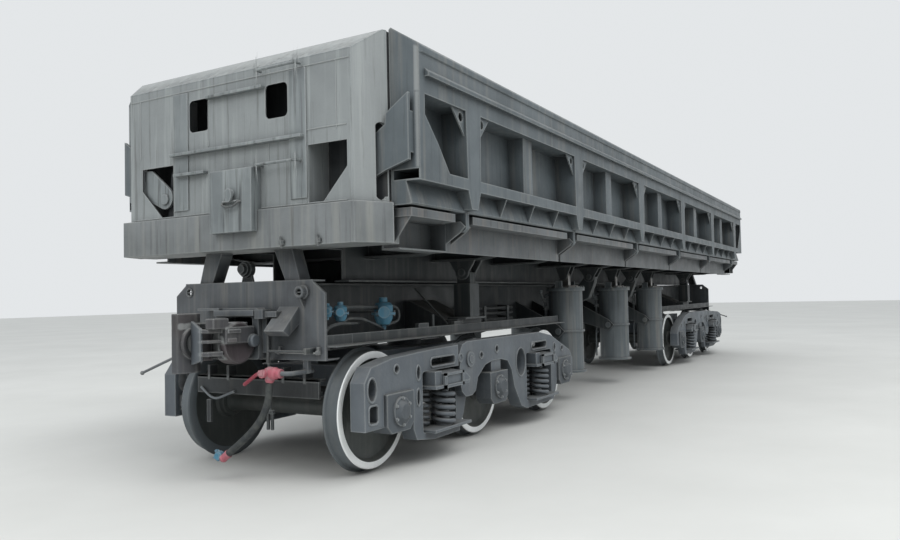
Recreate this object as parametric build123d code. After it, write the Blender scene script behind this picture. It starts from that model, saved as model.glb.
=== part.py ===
from build123d import *
from math import cos, radians, sin
import os

# Six-axle rail dump wagon that tips to either side. Millimetres, Z up, X along the wagon.
# The origin is on the floor under the wheel flanges, in the middle of the wagon.
# "front" is the end at -X, "near" is the side at -Y. "rear" and "far" are the opposite ones.
# RAIL is the height of the rail head above the floor: the wheel flanges reach below it.

RAIL = 28

# Wheelsets
TREAD_R = 470
RIM_IN_Y = 720
RIM_OUT_Y = 850
RIM_BORE_R = 410
HUB_R = 135
HUB_IN_Y = 695
HUB_OUT_Y = 885
AXLE_R = 84
SEAT_R = 95
JOURNAL_R = 65
JOURNAL_IN_Y = 935
AXLE_END_Y = 1100
AXLE_Z = RAIL + TREAD_R

# Bogies
BOGIE_X = 4750
AXLE_STEP = 1750
SPRING_X = 1045
CASTING_IN_Y = 950
CASTING_OUT_Y = 1085
CASTING_SPLIT_Y = 1012
KNUCKLE_X = 560
KNUCKLE_Z = RAIL + 780
BOX_HALF = 190
BOX_UP = 150
BOX_DOWN = 160
BOX_IN_Y = 940
BOX_OUT_Y = 1112
BOX_GAP = 5
COVER_R = 115
WINDOW_HALF = 340
WINDOW_LOW = RAIL + 235
WINDOW_HIGH = RAIL + 740
SPRING_R = 108
SPRING_SMALL_R = 86
SPRING_OUT_Y = 1080
SPRING_IN_Y = 945
SPRING_SPREAD = 165
COILS = 5
BOLSTER_LOW = RAIL + 590
BOLSTER_HIGH = RAIL + 715
BOLSTER_HALF = 165
BOLSTER_WALL = 22
BOLSTER_END_Y = 1190
BOLSTER_PAD = 290
BEAM_END_Y = 846
SEAT_T = 24
SEAT_IN_Y = 856
CENTRE_PLATE_R = 175
CENTRE_PLATE_TOP = RAIL + 925
SHOE_GAP = 8
SHOE_T = 45

# Underframe
SILL_HALF = 165
SILL_PLATE = 20
SILL_LOW = RAIL + 950
SILL_HIGH = RAIL + 1480
SILL_COVER_HALF = 240
END_X = 7040
END_HALF = 805
END_LOW = RAIL + 900
END_HIGH = RAIL + 1500
END_PLATE = 25
CHAMFER_Y = 115
CHAMFER_Z = 90
LEDGE_DEEP = 150
RAIL_ANGLE = 90
ANGLE_T = 12
ANGLE_Z = RAIL + 1000

# Tipping pins and the saddles that carry them
PIN_Y = 760
PIN_Z = RAIL + 1600
PIN_R = 40
PIN_GAP = 0.5
SEAT_GAP = 0.3
STATIONS = (-BOGIE_X, -1010, 1010, BOGIE_X)
SADDLE_HALF = 55
SADDLE_R = 78
EAR_T = 26
EAR_R = 76
EAR_GAP = 6
ARM_LOW = RAIL + 1180
ARM_HIGH = RAIL + 1470
COLUMN_HALF = 95
COLUMN_DEEP = 95
COLUMN_FOOT = RAIL + 1135
COLUMN_TOP = RAIL + 1490
CROSS_BEAM_HALF = 250

# Tipping cylinders, three on each side
CYL_X = (-2020, 0, 2020)
CYL_Y = PIN_Y
CYL_LOW = RAIL + 345
CYL_HIGH = RAIL + 1445
BARREL_R = 220
BARREL_BORE = 202
FLANGE_R = 250
FLANGE_T = 45
BARREL_FLOOR = 30
STAGE1_LOW = CYL_LOW + BARREL_FLOOR + SEAT_GAP
STAGE_FLOOR = 25
STAGE2_LOW = STAGE1_LOW + STAGE_FLOOR + SEAT_GAP
STAGE_STEP = 14
TRUNNION_Z = RAIL + 880
BELT_R = 240
BELT_T = 26
TRUNNION_R = 38
TRUNNION_OUT = 300
STAGE1_R = 198
STAGE1_BORE = 168
STAGE2_R = 164
EYE_Z = PIN_Z
EYE_R = 60
EYE_HALF = 45
CHEEK_GAP = 10
CHEEK_T = 22

# Body
WALL_X = 7187
WALL_HALF = 1192
WALL_BACK_X = 6935
WALL_BACK_HALF = 1335
WALL_TOP = RAIL + 3160
WALL_RIDGE = RAIL + 3325
WALL_SHEET = 10
RIGHT_OPENING = [(-790, 2500), (-1150, 2500), (-1150, 2311), (-923, 2066), (-790, 2066)]
LEFT_OPENING = [(643, 2500), (1037, 2500), (1039, 2312), (789, 2066), (649, 2066)]
SLOT_LOW = RAIL + 2070
SLOT_HIGH = RAIL + 2640
BAND_LOW = RAIL + 1757
BAND_OUT = 45
BAND_BACK = 120
FLOOR_Z = RAIL + 2054
FLOOR_T = 16
FRAME_LOW = RAIL + 1720
LIP_Z = RAIL + 2015
LIP_T = 65
LIP_Y = 1500
LIP_BEVEL = 60
WEB_Y = WALL_BACK_HALF
WEB_T = 14
WEB_END = 55
WEB_INSET = 160
SLOT_HALF = 28
SLOT_TOP = RAIL + 1905
CROSS_X = (-5900, -BOGIE_X, -3400, -2020, -1010, 0, 1010, 2020, 3400, BOGIE_X, 5900)
CROSS_HALF = 80
FLANGE_SHEET = 18
BEAM_Y = 390
BEAM_HALF = 80
BEAM_LOW = RAIL + 1506
BEAM_X = 6300

# Side boards
BOARD_X = 6917
BOARD_IN_Y = WALL_BACK_HALF + 6
BOARD_SKIN = 20
BOARD_SHEET = 12
BOARD_OUT_Y = 1546
POST_OUT_Y = 1588
BOARD_LOW = RAIL + 2034
BOARD_TOP = RAIL + 3345
RIM_TOP = RAIL + 3197
RIM_LOW = RAIL + 3130
RIM_OUT = 12
LEDGE_LOW = RAIL + 2967
LEDGE_OUT = 38
LEDGE_X = BOARD_X - 87
CHORD_LOW = RAIL + 2840
CORNER = 55
SILL_BAR_LOW = RAIL + 2205
SILL_BAR_HIGH = RAIL + 2298
END_POST_INSET = 837
POST_TIP_Z = RAIL + 2057
POST_HALF = 130
POST_TIP_HALF = 50
MID_POST_HALF = 100
MID_POST_Y = 1520
HINGE_Y = 1470
HINGE_Z = RAIL + 1924
HINGE_PIN_R = 20
HINGE_EYE_R = 44
HINGE_LUG = 50
HINGE_GAP = 6
HINGE_CHEEK = 22
POST_GAP = 117
POSTS = 6
RIBS = 3
END_POST_X = BOARD_X - END_POST_INSET
POST_PITCH = 2 * END_POST_X / (POSTS - 1)
POST_X = [POST_PITCH * n - END_POST_X for n in range(POSTS)]


# Shape helpers

def block(x, y, z):
    """A box from its low and high sides along each axis."""
    middle = Pos((x[0] + x[1]) / 2, (y[0] + y[1]) / 2, (z[0] + z[1]) / 2)
    return middle * Box(x[1] - x[0], y[1] - y[0], z[1] - z[0])


def rod_x(r, x, y, z):
    return Pos((x[0] + x[1]) / 2, y, z) * Rot(0, 90, 0) * Cylinder(r, x[1] - x[0])


def rod_y(r, x, y, z):
    return Pos(x, (y[0] + y[1]) / 2, z) * Rot(90, 0, 0) * Cylinder(r, y[1] - y[0])


def rod_z(r, x, y, z):
    return Pos(x, y, (z[0] + z[1]) / 2) * Cylinder(r, z[1] - z[0])


def outline(points):
    return make_face(Polyline(*points, close=True))


def slab_x(sketch, x):
    """A sketch of (y, z) pushed along X from x[0] to x[1]."""
    return extrude(Plane.YZ.offset(x[0]) * sketch, x[1] - x[0])


def slab_y(sketch, y):
    """A sketch of (x, z) pushed along Y from y[0] to y[1]."""
    return extrude(Plane.XZ.offset(-y[1]) * sketch, y[1] - y[0])


def slab_z(sketch, z):
    """A sketch of (x, y) pushed along Z from z[0] to z[1]."""
    return extrude(Plane.XY.offset(z[0]) * sketch, z[1] - z[0])


def joined(pieces):
    """One fused body from touching or overlapping pieces."""
    pieces = list(pieces)
    return pieces[0].fuse(*pieces[1:]) if len(pieces) > 1 else pieces[0]


def far(piece):
    """The same piece on the other side of the wagon."""
    return mirror(piece, about=Plane.XZ)


def rear(piece):
    """The same piece at the other end, turned about the wagon's middle."""
    return Rot(0, 0, 180) * piece


def save(name, *pieces):
    solids = [s for p in pieces for s in p.solids()]
    whole = solids[0] if len(solids) == 1 else Compound(children=solids)
    export_step(whole, f"parts/{name}.step")


# Wheelsets

def wheelset(x):
    web_in = RIM_IN_Y + 25
    web_out = RIM_OUT_Y - 50
    flange_r = TREAD_R + RAIL
    half = [
        (AXLE_R, 0), (AXLE_R, HUB_IN_Y), (HUB_R, HUB_IN_Y), (HUB_R + 12, web_in),
        (RIM_BORE_R - 12, web_out - 45), (RIM_BORE_R, RIM_IN_Y), (flange_r - 12, RIM_IN_Y),
        (flange_r, RIM_IN_Y + 12), (flange_r, RIM_IN_Y + 20), (TREAD_R + 3, RIM_IN_Y + 34),
        (TREAD_R - 4, RIM_OUT_Y), (RIM_BORE_R, RIM_OUT_Y), (RIM_BORE_R - 14, web_out),
        (HUB_R + 14, web_in + 45), (HUB_R, HUB_OUT_Y), (SEAT_R, HUB_OUT_Y),
        (SEAT_R, JOURNAL_IN_Y - 8), (JOURNAL_R, JOURNAL_IN_Y), (JOURNAL_R, AXLE_END_Y),
    ]
    other = [(r, -y) for r, y in reversed(half[1:])]
    profile = outline([(0, -AXLE_END_Y)] + other + half + [(0, AXLE_END_Y)])
    return Pos(x, 0, AXLE_Z) * revolve(profile, Axis.Y)


# Bogies, drawn about their own middle and put at BOGIE_X later

def oval(x, z, width, height):
    return Pos(x, RAIL + z) * Ellipse(width / 2, height / 2)


def opening(x, z, width, height, corner=18):
    return Pos(x, RAIL + z) * RectangleRounded(width, height, corner)


def pedestal(x):
    """The jaw of a side casting over an axle box."""
    half = BOX_HALF + BOX_GAP
    deep = 500
    return Pos(x, AXLE_Z + BOX_UP - deep / 2) * Rectangle(2 * half, deep)


def spring_window(x):
    middle = (WINDOW_LOW + WINDOW_HIGH) / 2
    return Pos(x, middle) * RectangleRounded(2 * WINDOW_HALF, WINDOW_HIGH - WINDOW_LOW, 30)


def outer_casting():
    """Side casting from the outer axle box to the knuckle, on the near side."""
    points = [
        (-2190, 370), (-2190, 730), (-2105, 842), (-1810, 891), (-1280, 916), (-560, 932),
        (-440, 880), (-410, 780), (-440, 640), (-560, 300), (-640, 163), (-1200, 158),
        (-1480, 196), (-1530, 290), (-1530, 370),
    ]
    face = outline([(x, RAIL + z) for x, z in points]) - pedestal(-AXLE_STEP)
    face -= spring_window(-SPRING_X)
    face -= opening(-SPRING_X, 806, 400, 62)
    face -= oval(-2105, 680, 62, 130)
    face -= opening(-2085, 490, 90, 120)
    face -= oval(-1769, 800, 56, 56)
    face -= oval(-1450, 740, 52, 110)
    face -= opening(-1455, 540, 42, 130)
    face -= oval(-735, 806, 56, 56)
    casting = slab_y(face, (-CASTING_OUT_Y, -CASTING_IN_Y))
    cheek = block((-KNUCKLE_X - 210, 0), (-CASTING_OUT_Y - 5, -CASTING_SPLIT_Y), (0, 2000))
    return casting - cheek


def inner_casting():
    """Side casting over the middle and inner axles, on the near side."""
    points = [
        (-745, 600), (-745, 850), (-690, 925), (-600, 947), (1060, 947), (1400, 895), (1970, 690),
        (2060, 590), (2060, 370), (1555, 370), (1500, 250), (1440, 165), (700, 158), (560, 205),
        (400, 420), (340, 600), (250, 700), (100, 728), (-100, 728), (-250, 700), (-400, 600),
        (-450, 480), (-520, 445), (-640, 445), (-715, 500),
    ]
    face = outline([(x, RAIL + z) for x, z in points]) - pedestal(AXLE_STEP)
    face -= spring_window(SPRING_X)
    face -= opening(SPRING_X, 806, 400, 62)
    face -= oval(560, 660, 220, 290)
    face -= oval(-330, 800, 52, 52)
    face -= oval(0, 835, 60, 60)
    face -= oval(1490, 756, 52, 80)
    face -= oval(1720, 730, 52, 52)
    casting = slab_y(face, (-CASTING_OUT_Y, -CASTING_IN_Y))
    cheek = block((-2000, -KNUCKLE_X + 185), (-CASTING_SPLIT_Y - 2, 0), (0, 2000))
    return casting - cheek


def knuckle_pin():
    return rod_y(70, -KNUCKLE_X, (-CASTING_OUT_Y - 18, -CASTING_OUT_Y), KNUCKLE_Z)


def axle_box(x):
    low = AXLE_Z - BOX_DOWN
    high = AXLE_Z + BOX_UP
    face = outline([
        (x - BOX_HALF, low + 60), (x - BOX_HALF, high), (x + BOX_HALF, high),
        (x + BOX_HALF, low + 60), (x + BOX_HALF - 60, low), (x - BOX_HALF + 60, low),
    ])
    box = slab_y(face, (-BOX_OUT_Y, -BOX_IN_Y))
    box += rod_y(COVER_R, x, (-BOX_OUT_Y - 18, -BOX_OUT_Y), AXLE_Z)
    box += Pos(x, -BOX_OUT_Y - 18, AXLE_Z) * Rot(90, 0, 0) * Cone(COVER_R - 20, COVER_R - 55, 30,
                                                                  align=(Align.CENTER, Align.CENTER, Align.MIN))
    return box - rod_y(JOURNAL_R + 0.5, x, (-AXLE_END_Y - 4, -BOX_IN_Y + 1), AXLE_Z)


def middle_adapter():
    """The block that seats the side castings on the middle axle box."""
    low = AXLE_Z + BOX_UP
    high = RAIL + 728
    return block((-100, 100), (-CASTING_OUT_Y + 10, -CASTING_IN_Y), (low, high))


def coil_spring(x, y, r, ribbed):
    """A coil spring as a closed solid, with its coils as ridges where it is in view."""
    low = WINDOW_LOW + SEAT_T
    pitch = (BOLSTER_LOW - low) / COILS
    points = [(0, low)]
    for n in range(COILS if ribbed else 0):
        points += [(r - 20, low + n * pitch), (r, low + (n + 0.5) * pitch)]
    points += [(r - 20, BOLSTER_LOW)] if ribbed else [(r, low), (r, BOLSTER_LOW)]
    points += [(0, BOLSTER_LOW)]
    profile = make_face(Plane.XZ * Polyline(*points, close=True))
    return Pos(x, y, 0) * revolve(profile, Axis.Z)


def spring_nest(x):
    outer = coil_spring(x, -SPRING_OUT_Y, SPRING_R, True)
    inner = [coil_spring(x + side * SPRING_SPREAD, -SPRING_IN_Y, SPRING_SMALL_R, False) for side in (-1, 1)]
    return [outer] + inner


def spring_seat(x):
    """The plate under a spring nest, on the casting's lower chord."""
    half = WINDOW_HALF - 30
    return block((x - half, x + half), (-BOLSTER_END_Y, -SEAT_IN_Y), (WINDOW_LOW, WINDOW_LOW + SEAT_T))


def bolster(x):
    """Cross-beam whose ends stand on the springs."""
    middle_low = RAIL + 560
    points = [
        (BOLSTER_END_Y, BOLSTER_LOW), (BOLSTER_END_Y, BOLSTER_HIGH), (600, BOLSTER_HIGH + 40),
        (-600, BOLSTER_HIGH + 40), (-BOLSTER_END_Y, BOLSTER_HIGH), (-BOLSTER_END_Y, BOLSTER_LOW),
        (-590, BOLSTER_LOW), (-450, middle_low), (450, middle_low), (590, BOLSTER_LOW),
    ]
    face = outline(points)
    hollow = offset(face, -BOLSTER_WALL, kind=Kind.INTERSECTION)
    half = BOLSTER_HALF - BOLSTER_WALL
    beam = slab_x(face, (x - BOLSTER_HALF, x + BOLSTER_HALF)) - slab_x(hollow, (x - half, x + half))
    for side in (-1, 1):
        y = sorted((side * SEAT_IN_Y, side * BOLSTER_END_Y))
        beam += block((x - BOLSTER_PAD, x + BOLSTER_PAD), y, (BOLSTER_LOW, BOLSTER_LOW + 28))
    return beam


def bogie_frame():
    beams = [bolster(-SPRING_X), bolster(SPRING_X)]
    low = BOLSTER_HIGH + 40
    for y in (-330, 210):
        beams.append(block((-SPRING_X - 120, SPRING_X + 120), (y, y + 120), (low - 70, RAIL + 870)))
    beams.append(block((-230, 230), (-330, 330), (low + 20, RAIL + 870)))
    beams.append(rod_z(CENTRE_PLATE_R, 0, 0, (RAIL + 870, CENTRE_PLATE_TOP)))
    return joined(beams)


def brake_shoe(axle, side, y):
    """A shoe with its holder against one wheel's tread."""
    inner = TREAD_R + SHOE_GAP
    ring = Circle(inner + SHOE_T) - Circle(inner)
    wedge = outline([(0, 0), (side * 900, 260), (side * 900, -330)])
    shoe = Pos(axle, AXLE_Z) * (ring & wedge)
    return slab_y(shoe, (y - 42, y + 42))


def brake_beams():
    """Shoes on both wheels of each axle, joined by a beam across the bogie."""
    pieces = []
    for axle, side in ((-AXLE_STEP, 1), (0, -1), (AXLE_STEP, -1)):
        x = axle + side * (TREAD_R + SHOE_GAP + SHOE_T)
        shoes = [brake_shoe(axle, side, y) for y in (-805, 805)]
        beam = rod_y(32, x + side * 22, (-BEAM_END_Y, BEAM_END_Y), AXLE_Z - 40)
        pieces.append(joined(shoes + [beam]))
    return pieces


def hangers():
    """Links that hang the brake beams from the bolsters, and the middle one from the long beams."""
    x = -(TREAD_R + SHOE_GAP + SHOE_T + 22)
    pieces = [block((x - 12, x + 12), (y - 30, y + 30), (AXLE_Z - 10, RAIL + 685)) for y in (-270, 270)]
    for axle, side in ((-AXLE_STEP, 1), (AXLE_STEP, -1)):
        x = axle + side * (TREAD_R + SHOE_GAP + SHOE_T + 22)
        for y in (-640, 640):
            pieces.append(block((x - 12, x + 12), (y - 30, y + 30), (AXLE_Z - 10, BOLSTER_LOW)))
    return pieces


# Underframe

def centre_sill():
    """Box girder, open at both ends for the couplers' shanks."""
    inner_x = END_X - END_PLATE
    webs = [block((-inner_x, inner_x), (y, y + SILL_PLATE), (SILL_LOW, SILL_HIGH))
            for y in (-SILL_HALF, SILL_HALF - SILL_PLATE)]
    top = block((-inner_x, inner_x), (-SILL_COVER_HALF, SILL_COVER_HALF), (SILL_HIGH, SILL_HIGH + SILL_PLATE))
    pocket_x = END_X - 850
    bottom = block((-pocket_x, pocket_x), (-SILL_COVER_HALF + 40, SILL_COVER_HALF - 40),
                   (SILL_LOW - 15, SILL_LOW))
    feet = [block(sorted((s * (pocket_x - 60), s * inner_x)), sorted((t * SILL_HALF, t * (SILL_HALF + 60))),
                  (SILL_LOW, SILL_LOW + SILL_PLATE)) for s in (-1, 1) for t in (-1, 1)]
    return joined(webs + [top, bottom] + feet)


def end_beam():
    """The front end plate with its chamfered corners, ledge, side wings and striker."""
    corner = END_HALF - CHAMFER_Y
    plate = outline([
        (-END_HALF, END_LOW), (END_HALF, END_LOW), (END_HALF, END_HIGH - CHAMFER_Z), (corner, END_HIGH),
        (-corner, END_HIGH), (-END_HALF, END_HIGH - CHAMFER_Z),
    ])
    mouth = Pos(0, RAIL + 1090) * RectangleRounded(300, 290, 20)
    plate -= mouth
    plate -= Pos(640, RAIL + 1440) * Circle(26)
    beam = slab_x(plate, (-END_X, -END_X + END_PLATE))
    back = -END_X + LEDGE_DEEP
    beam += block((-END_X, back), (-corner, corner), (END_HIGH, END_HIGH + 14))
    beam += block((-END_X, back), (-END_HALF, END_HALF), (END_LOW, END_LOW + 14)) - block(
        (-END_X - 1, back + 1), (-SILL_HALF - 65, SILL_HALF + 65), (END_LOW - 1, END_LOW + 30))
    for side in (-1, 1):
        y = sorted((side * (END_HALF - 14), side * END_HALF))
        wing = outline([(-END_X, END_LOW), (-END_X, END_HIGH - CHAMFER_Z), (-END_X + 330, END_HIGH - 160),
                        (-END_X + 330, ANGLE_Z), (back, END_LOW)])
        beam += slab_y(wing, y)
    beam += striker()
    return beam


def striker():
    """Cast frame round the coupler's mouth, with the hood over its side."""
    x = (-END_X - 85, -END_X)
    mouth = Pos(0, RAIL + 1090) * RectangleRounded(300, 290, 20)
    frame = Pos(20, RAIL + 1105) * RectangleRounded(470, 400, 24) - mouth
    piece = slab_x(frame, x)
    piece += block((-END_X - 120, -END_X), (-195, 235), (RAIL + 1245, RAIL + 1290))
    hood = slab_y(outline([(-END_X, RAIL + 1312), (-END_X - 180, RAIL + 1130), (-END_X - 117, RAIL + 1089),
                           (-END_X, RAIL + 1174)]), (-553, -356))
    return piece + hood


def end_ring():
    """Draw ring beside the top corner, with the gusset under it."""
    ring = slab_x(Pos(-606, RAIL + 1420) * (Circle(46) - Circle(24)), (-END_X - 60, -END_X))
    gusset = slab_y(outline([(-END_X, RAIL + 1376), (-END_X - 55, RAIL + 1376), (-END_X, RAIL + 1290)]),
                    (-612, -600))
    return ring + gusset


def rest_legs():
    """Splayed legs over the end beam that the body's end rests on."""
    legs = []
    x = (-END_X + 25, -END_X + LEDGE_DEEP)
    top = BAND_LOW - SEAT_GAP
    low = END_HIGH + 14
    for side in (-1, 1):
        leg = slab_x(outline([(side * 285, top), (side * 470, top), (side * 545, low), (side * 395, low)]), x)
        core = slab_x(outline([(side * 303, top - 16), (side * 452, top - 16), (side * 527, low),
                               (side * 413, low)]),
                      (x[0] + 14, x[1] + 1))
        legs.append(leg - core)
    return legs


def cross_beam(x):
    """Pivot cross-beam, with a sloped top that falls to the saddle column's foot."""
    low = RAIL + 1020
    points = [(SILL_HALF, low), (SILL_HALF, RAIL + 1330), (SILL_COVER_HALF, RAIL + 1325),
              (PIN_Y - COLUMN_DEEP - 10, COLUMN_FOOT),
              (END_HALF - ANGLE_T, COLUMN_FOOT), (END_HALF - ANGLE_T, low + 30), (SILL_HALF + 200, low)]
    face = outline(points)
    half = CROSS_BEAM_HALF - SILL_PLATE
    arm = slab_x(face, (x - CROSS_BEAM_HALF, x + CROSS_BEAM_HALF))
    arm -= slab_x(offset(face, -SILL_PLATE, kind=Kind.INTERSECTION), (x - half, x + half))
    return [arm, far(arm)]


def centre_pivot(x):
    return rod_z(CENTRE_PLATE_R - 8, x, 0, (CENTRE_PLATE_TOP + SEAT_GAP, SILL_LOW - 15))


def side_angle():
    """Long angle bar along the side, from the end beam to the cylinders."""
    x = (-END_X + 330, -2420)
    leg = block(x, (-END_HALF, -END_HALF + ANGLE_T), (ANGLE_Z, ANGLE_Z + RAIL_ANGLE))
    foot = block(x, (-END_HALF - RAIL_ANGLE, -END_HALF + ANGLE_T), (ANGLE_Z, ANGLE_Z + ANGLE_T))
    return leg + foot


def saddle_column(x):
    """Column on the pivot cross-beam's end with an open saddle on top, near side."""
    foot = COLUMN_FOOT + SILL_PLATE
    half = COLUMN_DEEP
    column = block((x - COLUMN_HALF, x + COLUMN_HALF), (PIN_Y - half, PIN_Y + half), (foot, COLUMN_TOP))
    column += block((x - 215, x + 215), (PIN_Y - half - 10, PIN_Y + half + 10), (COLUMN_FOOT, foot))
    inner = COLUMN_HALF - SILL_PLATE
    column -= block((x - inner, x + inner), (PIN_Y - half + SILL_PLATE, PIN_Y + half - SILL_PLATE),
                    (foot, COLUMN_TOP - SILL_PLATE))
    points = [(PIN_Y - SADDLE_R, COLUMN_TOP - 1), (PIN_Y - SADDLE_R, PIN_Z), (PIN_Y + SADDLE_R, PIN_Z),
              (PIN_Y + SADDLE_R, COLUMN_TOP - 1)]
    column += slab_x(outline(points), (x - SADDLE_HALF, x + SADDLE_HALF))
    return far(column - rod_x(PIN_R + PIN_GAP, (x - SADDLE_HALF - 1, x + SADDLE_HALF + 1), PIN_Y, PIN_Z))


def saddle_arm(x):
    """Bracket from the sill to one open saddle, near side."""
    seat_low = PIN_Z - PIN_R - 35
    points = [
        (SILL_HALF, ARM_LOW), (SILL_HALF, ARM_HIGH), (PIN_Y - 190, ARM_HIGH), (PIN_Y - SADDLE_R, PIN_Z),
        (PIN_Y + SADDLE_R, PIN_Z), (PIN_Y + SADDLE_R - 8, seat_low), (PIN_Y - 20, ARM_LOW + 120),
        (PIN_Y - 300, ARM_LOW),
    ]
    arm = slab_x(outline(points) - Pos(PIN_Y, PIN_Z) * Circle(PIN_R + PIN_GAP),
                 (x - SADDLE_HALF, x + SADDLE_HALF))
    hole = slab_x(outline([(SILL_HALF + 90, ARM_LOW + 60), (SILL_HALF + 90, ARM_HIGH - 70),
                           (PIN_Y - 240, ARM_HIGH - 70),
                           (PIN_Y - 330, ARM_LOW + 60)]), (x - SADDLE_HALF, x + SADDLE_HALF))
    return far(arm - hole)


def tip_pin(x):
    """Pin with a head at each end, on the far side."""
    half = SADDLE_HALF + EAR_GAP + EAR_T
    pin = rod_x(PIN_R, (x - half - 1, x + half + 1), PIN_Y, PIN_Z)
    heads = [rod_x(PIN_R + 12, (x + s * (half + 7) - 6, x + s * (half + 7) + 6), PIN_Y, PIN_Z) for s in (-1, 1)]
    return joined([pin] + heads)


def ear_pair(x, near):
    """Cheeks under the body beside a saddle. Near ones hold their own pin, far ones are bored for theirs."""
    low = FRAME_LOW
    shape = outline([(PIN_Y - 150, low), (PIN_Y + 150, low), (PIN_Y + EAR_R, PIN_Z), (PIN_Y - EAR_R, PIN_Z)])
    shape += Pos(PIN_Y, PIN_Z) * Circle(EAR_R)
    if not near:
        shape -= Pos(PIN_Y, PIN_Z) * Circle(PIN_R + PIN_GAP)
    pieces = []
    for side in (-1, 1):
        inner = x + side * (SADDLE_HALF + EAR_GAP)
        pieces.append(slab_x(shape, sorted((inner, inner + side * EAR_T))))
    if near:
        half = SADDLE_HALF + EAR_GAP + EAR_T
        pieces.append(rod_x(PIN_R, (x - half - 14, x + half + 14), PIN_Y, PIN_Z))
        return far(joined(pieces))
    return Compound(children=pieces)


# Tipping cylinders

def barrel(x):
    """Barrel with its flanges, belt and trunnions, near side."""
    y = -CYL_Y
    tube = rod_z(BARREL_R, x, y, (CYL_LOW, CYL_HIGH))
    tube += rod_z(FLANGE_R, x, y, (CYL_HIGH - FLANGE_T, CYL_HIGH))
    tube += rod_z(FLANGE_R, x, y, (CYL_LOW, CYL_LOW + BARREL_FLOOR))
    tube += rod_z(BELT_R, x, y, (TRUNNION_Z - BELT_T / 2, TRUNNION_Z + BELT_T / 2))
    tube += rod_x(TRUNNION_R, (x - TRUNNION_OUT, x + TRUNNION_OUT), y, TRUNNION_Z)
    for side in (-1, 1):
        middle = x + side * 226
        tube += block((middle - 12, middle + 12), (y - 45, y + 45), (CYL_HIGH, CYL_HIGH + 85))
    return tube - rod_z(BARREL_BORE, x, y, (CYL_LOW + BARREL_FLOOR, CYL_HIGH + 1))


def first_stage(x):
    high = CYL_HIGH + STAGE_STEP
    tube = rod_z(STAGE1_R, x, -CYL_Y, (STAGE1_LOW, high))
    return tube - rod_z(STAGE1_BORE, x, -CYL_Y, (STAGE1_LOW + STAGE_FLOOR, high + 1))


def second_stage(x):
    """Inner stage with the eye that the body is pinned to."""
    y = -CYL_Y
    high = CYL_HIGH + 2 * STAGE_STEP
    rod = rod_z(STAGE2_R, x, y, (STAGE2_LOW, high))
    rod -= rod_z(STAGE2_R - 24, x, y, (STAGE2_LOW - 1, high - 40))
    rod += block((x - EYE_HALF, x + EYE_HALF), (y - EYE_R, y + EYE_R), (high, EYE_Z))
    rod += rod_x(EYE_R, (x - EYE_HALF, x + EYE_HALF), y, EYE_Z)
    rod += rod_x(24, (x - EYE_HALF - 5, x + EYE_HALF + 5), y, EYE_Z)
    return rod


def trunnion_bracket(x):
    """Two plates from the sill that carry a barrel's trunnions, near side."""
    y = -CYL_Y
    shape = outline([(-SILL_HALF, SILL_LOW + 20), (-SILL_HALF, SILL_LOW + 330), (y, TRUNNION_Z + 85),
                     (y - 85, TRUNNION_Z), (y, TRUNNION_Z - 85)])
    shape -= Pos(y, TRUNNION_Z) * Circle(TRUNNION_R + PIN_GAP)
    plates = []
    for side in (-1, 1):
        inner = x + side * (TRUNNION_OUT - 34)
        plates.append(slab_x(shape, sorted((inner, inner + side * 24))))
    return plates


def rod_cheeks(x):
    """Cheeks under the body on both sides of a cylinder's eye, near side."""
    y = -CYL_Y
    shape = outline([(y - 110, FRAME_LOW), (y + 110, FRAME_LOW), (y + EYE_R, EYE_Z), (y - EYE_R, EYE_Z)])
    shape += Pos(y, EYE_Z) * Circle(EYE_R)
    pieces = []
    for side in (-1, 1):
        inner = x + side * (EYE_HALF + CHEEK_GAP)
        pieces.append(slab_x(shape, sorted((inner, inner + side * CHEEK_T))))
    return pieces


# Body

def floor_plate():
    """The flat floor between the end walls."""
    return block((-WALL_BACK_X, WALL_BACK_X), (-WALL_BACK_HALF, WALL_BACK_HALF), (FLOOR_Z - FLOOR_T, FLOOR_Z))


def band_plan(inset, back):
    """Plan of the end cross-beam: it narrows at the corners and stands out from the wall above."""
    front = -WALL_X - BAND_OUT + inset
    corner = WALL_HALF + BAND_OUT - inset
    step = WALL_BACK_HALF + BAND_OUT - inset
    side = WALL_BACK_HALF - inset
    near = [(front, -corner), (-WALL_BACK_X - 10, -step), (-WALL_BACK_X - 10, -side), (back, -side)]
    return near + [(x, -y) for x, y in reversed(near)]


def end_band():
    """The hollow end cross-beam under the front wall."""
    back = -WALL_BACK_X + BAND_BACK
    plate = 14
    under = FLOOR_Z - FLOOR_T
    band = slab_z(outline(band_plan(0, back)), (BAND_LOW, under))
    band += slab_z(outline(band_plan(0, -WALL_BACK_X)), (under, FLOOR_Z))
    return band - slab_z(outline(band_plan(plate, back + 1)), (BAND_LOW + plate, under))


def hinge_gaps():
    """Stretches of the floor's edge between the board hinges."""
    start = WALL_BACK_X - 40
    edges = [-start]
    for x in POST_X:
        edges += [x - POST_GAP, x + POST_GAP]
    edges.append(start)
    return list(zip(edges[0::2], edges[1::2]))


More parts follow.
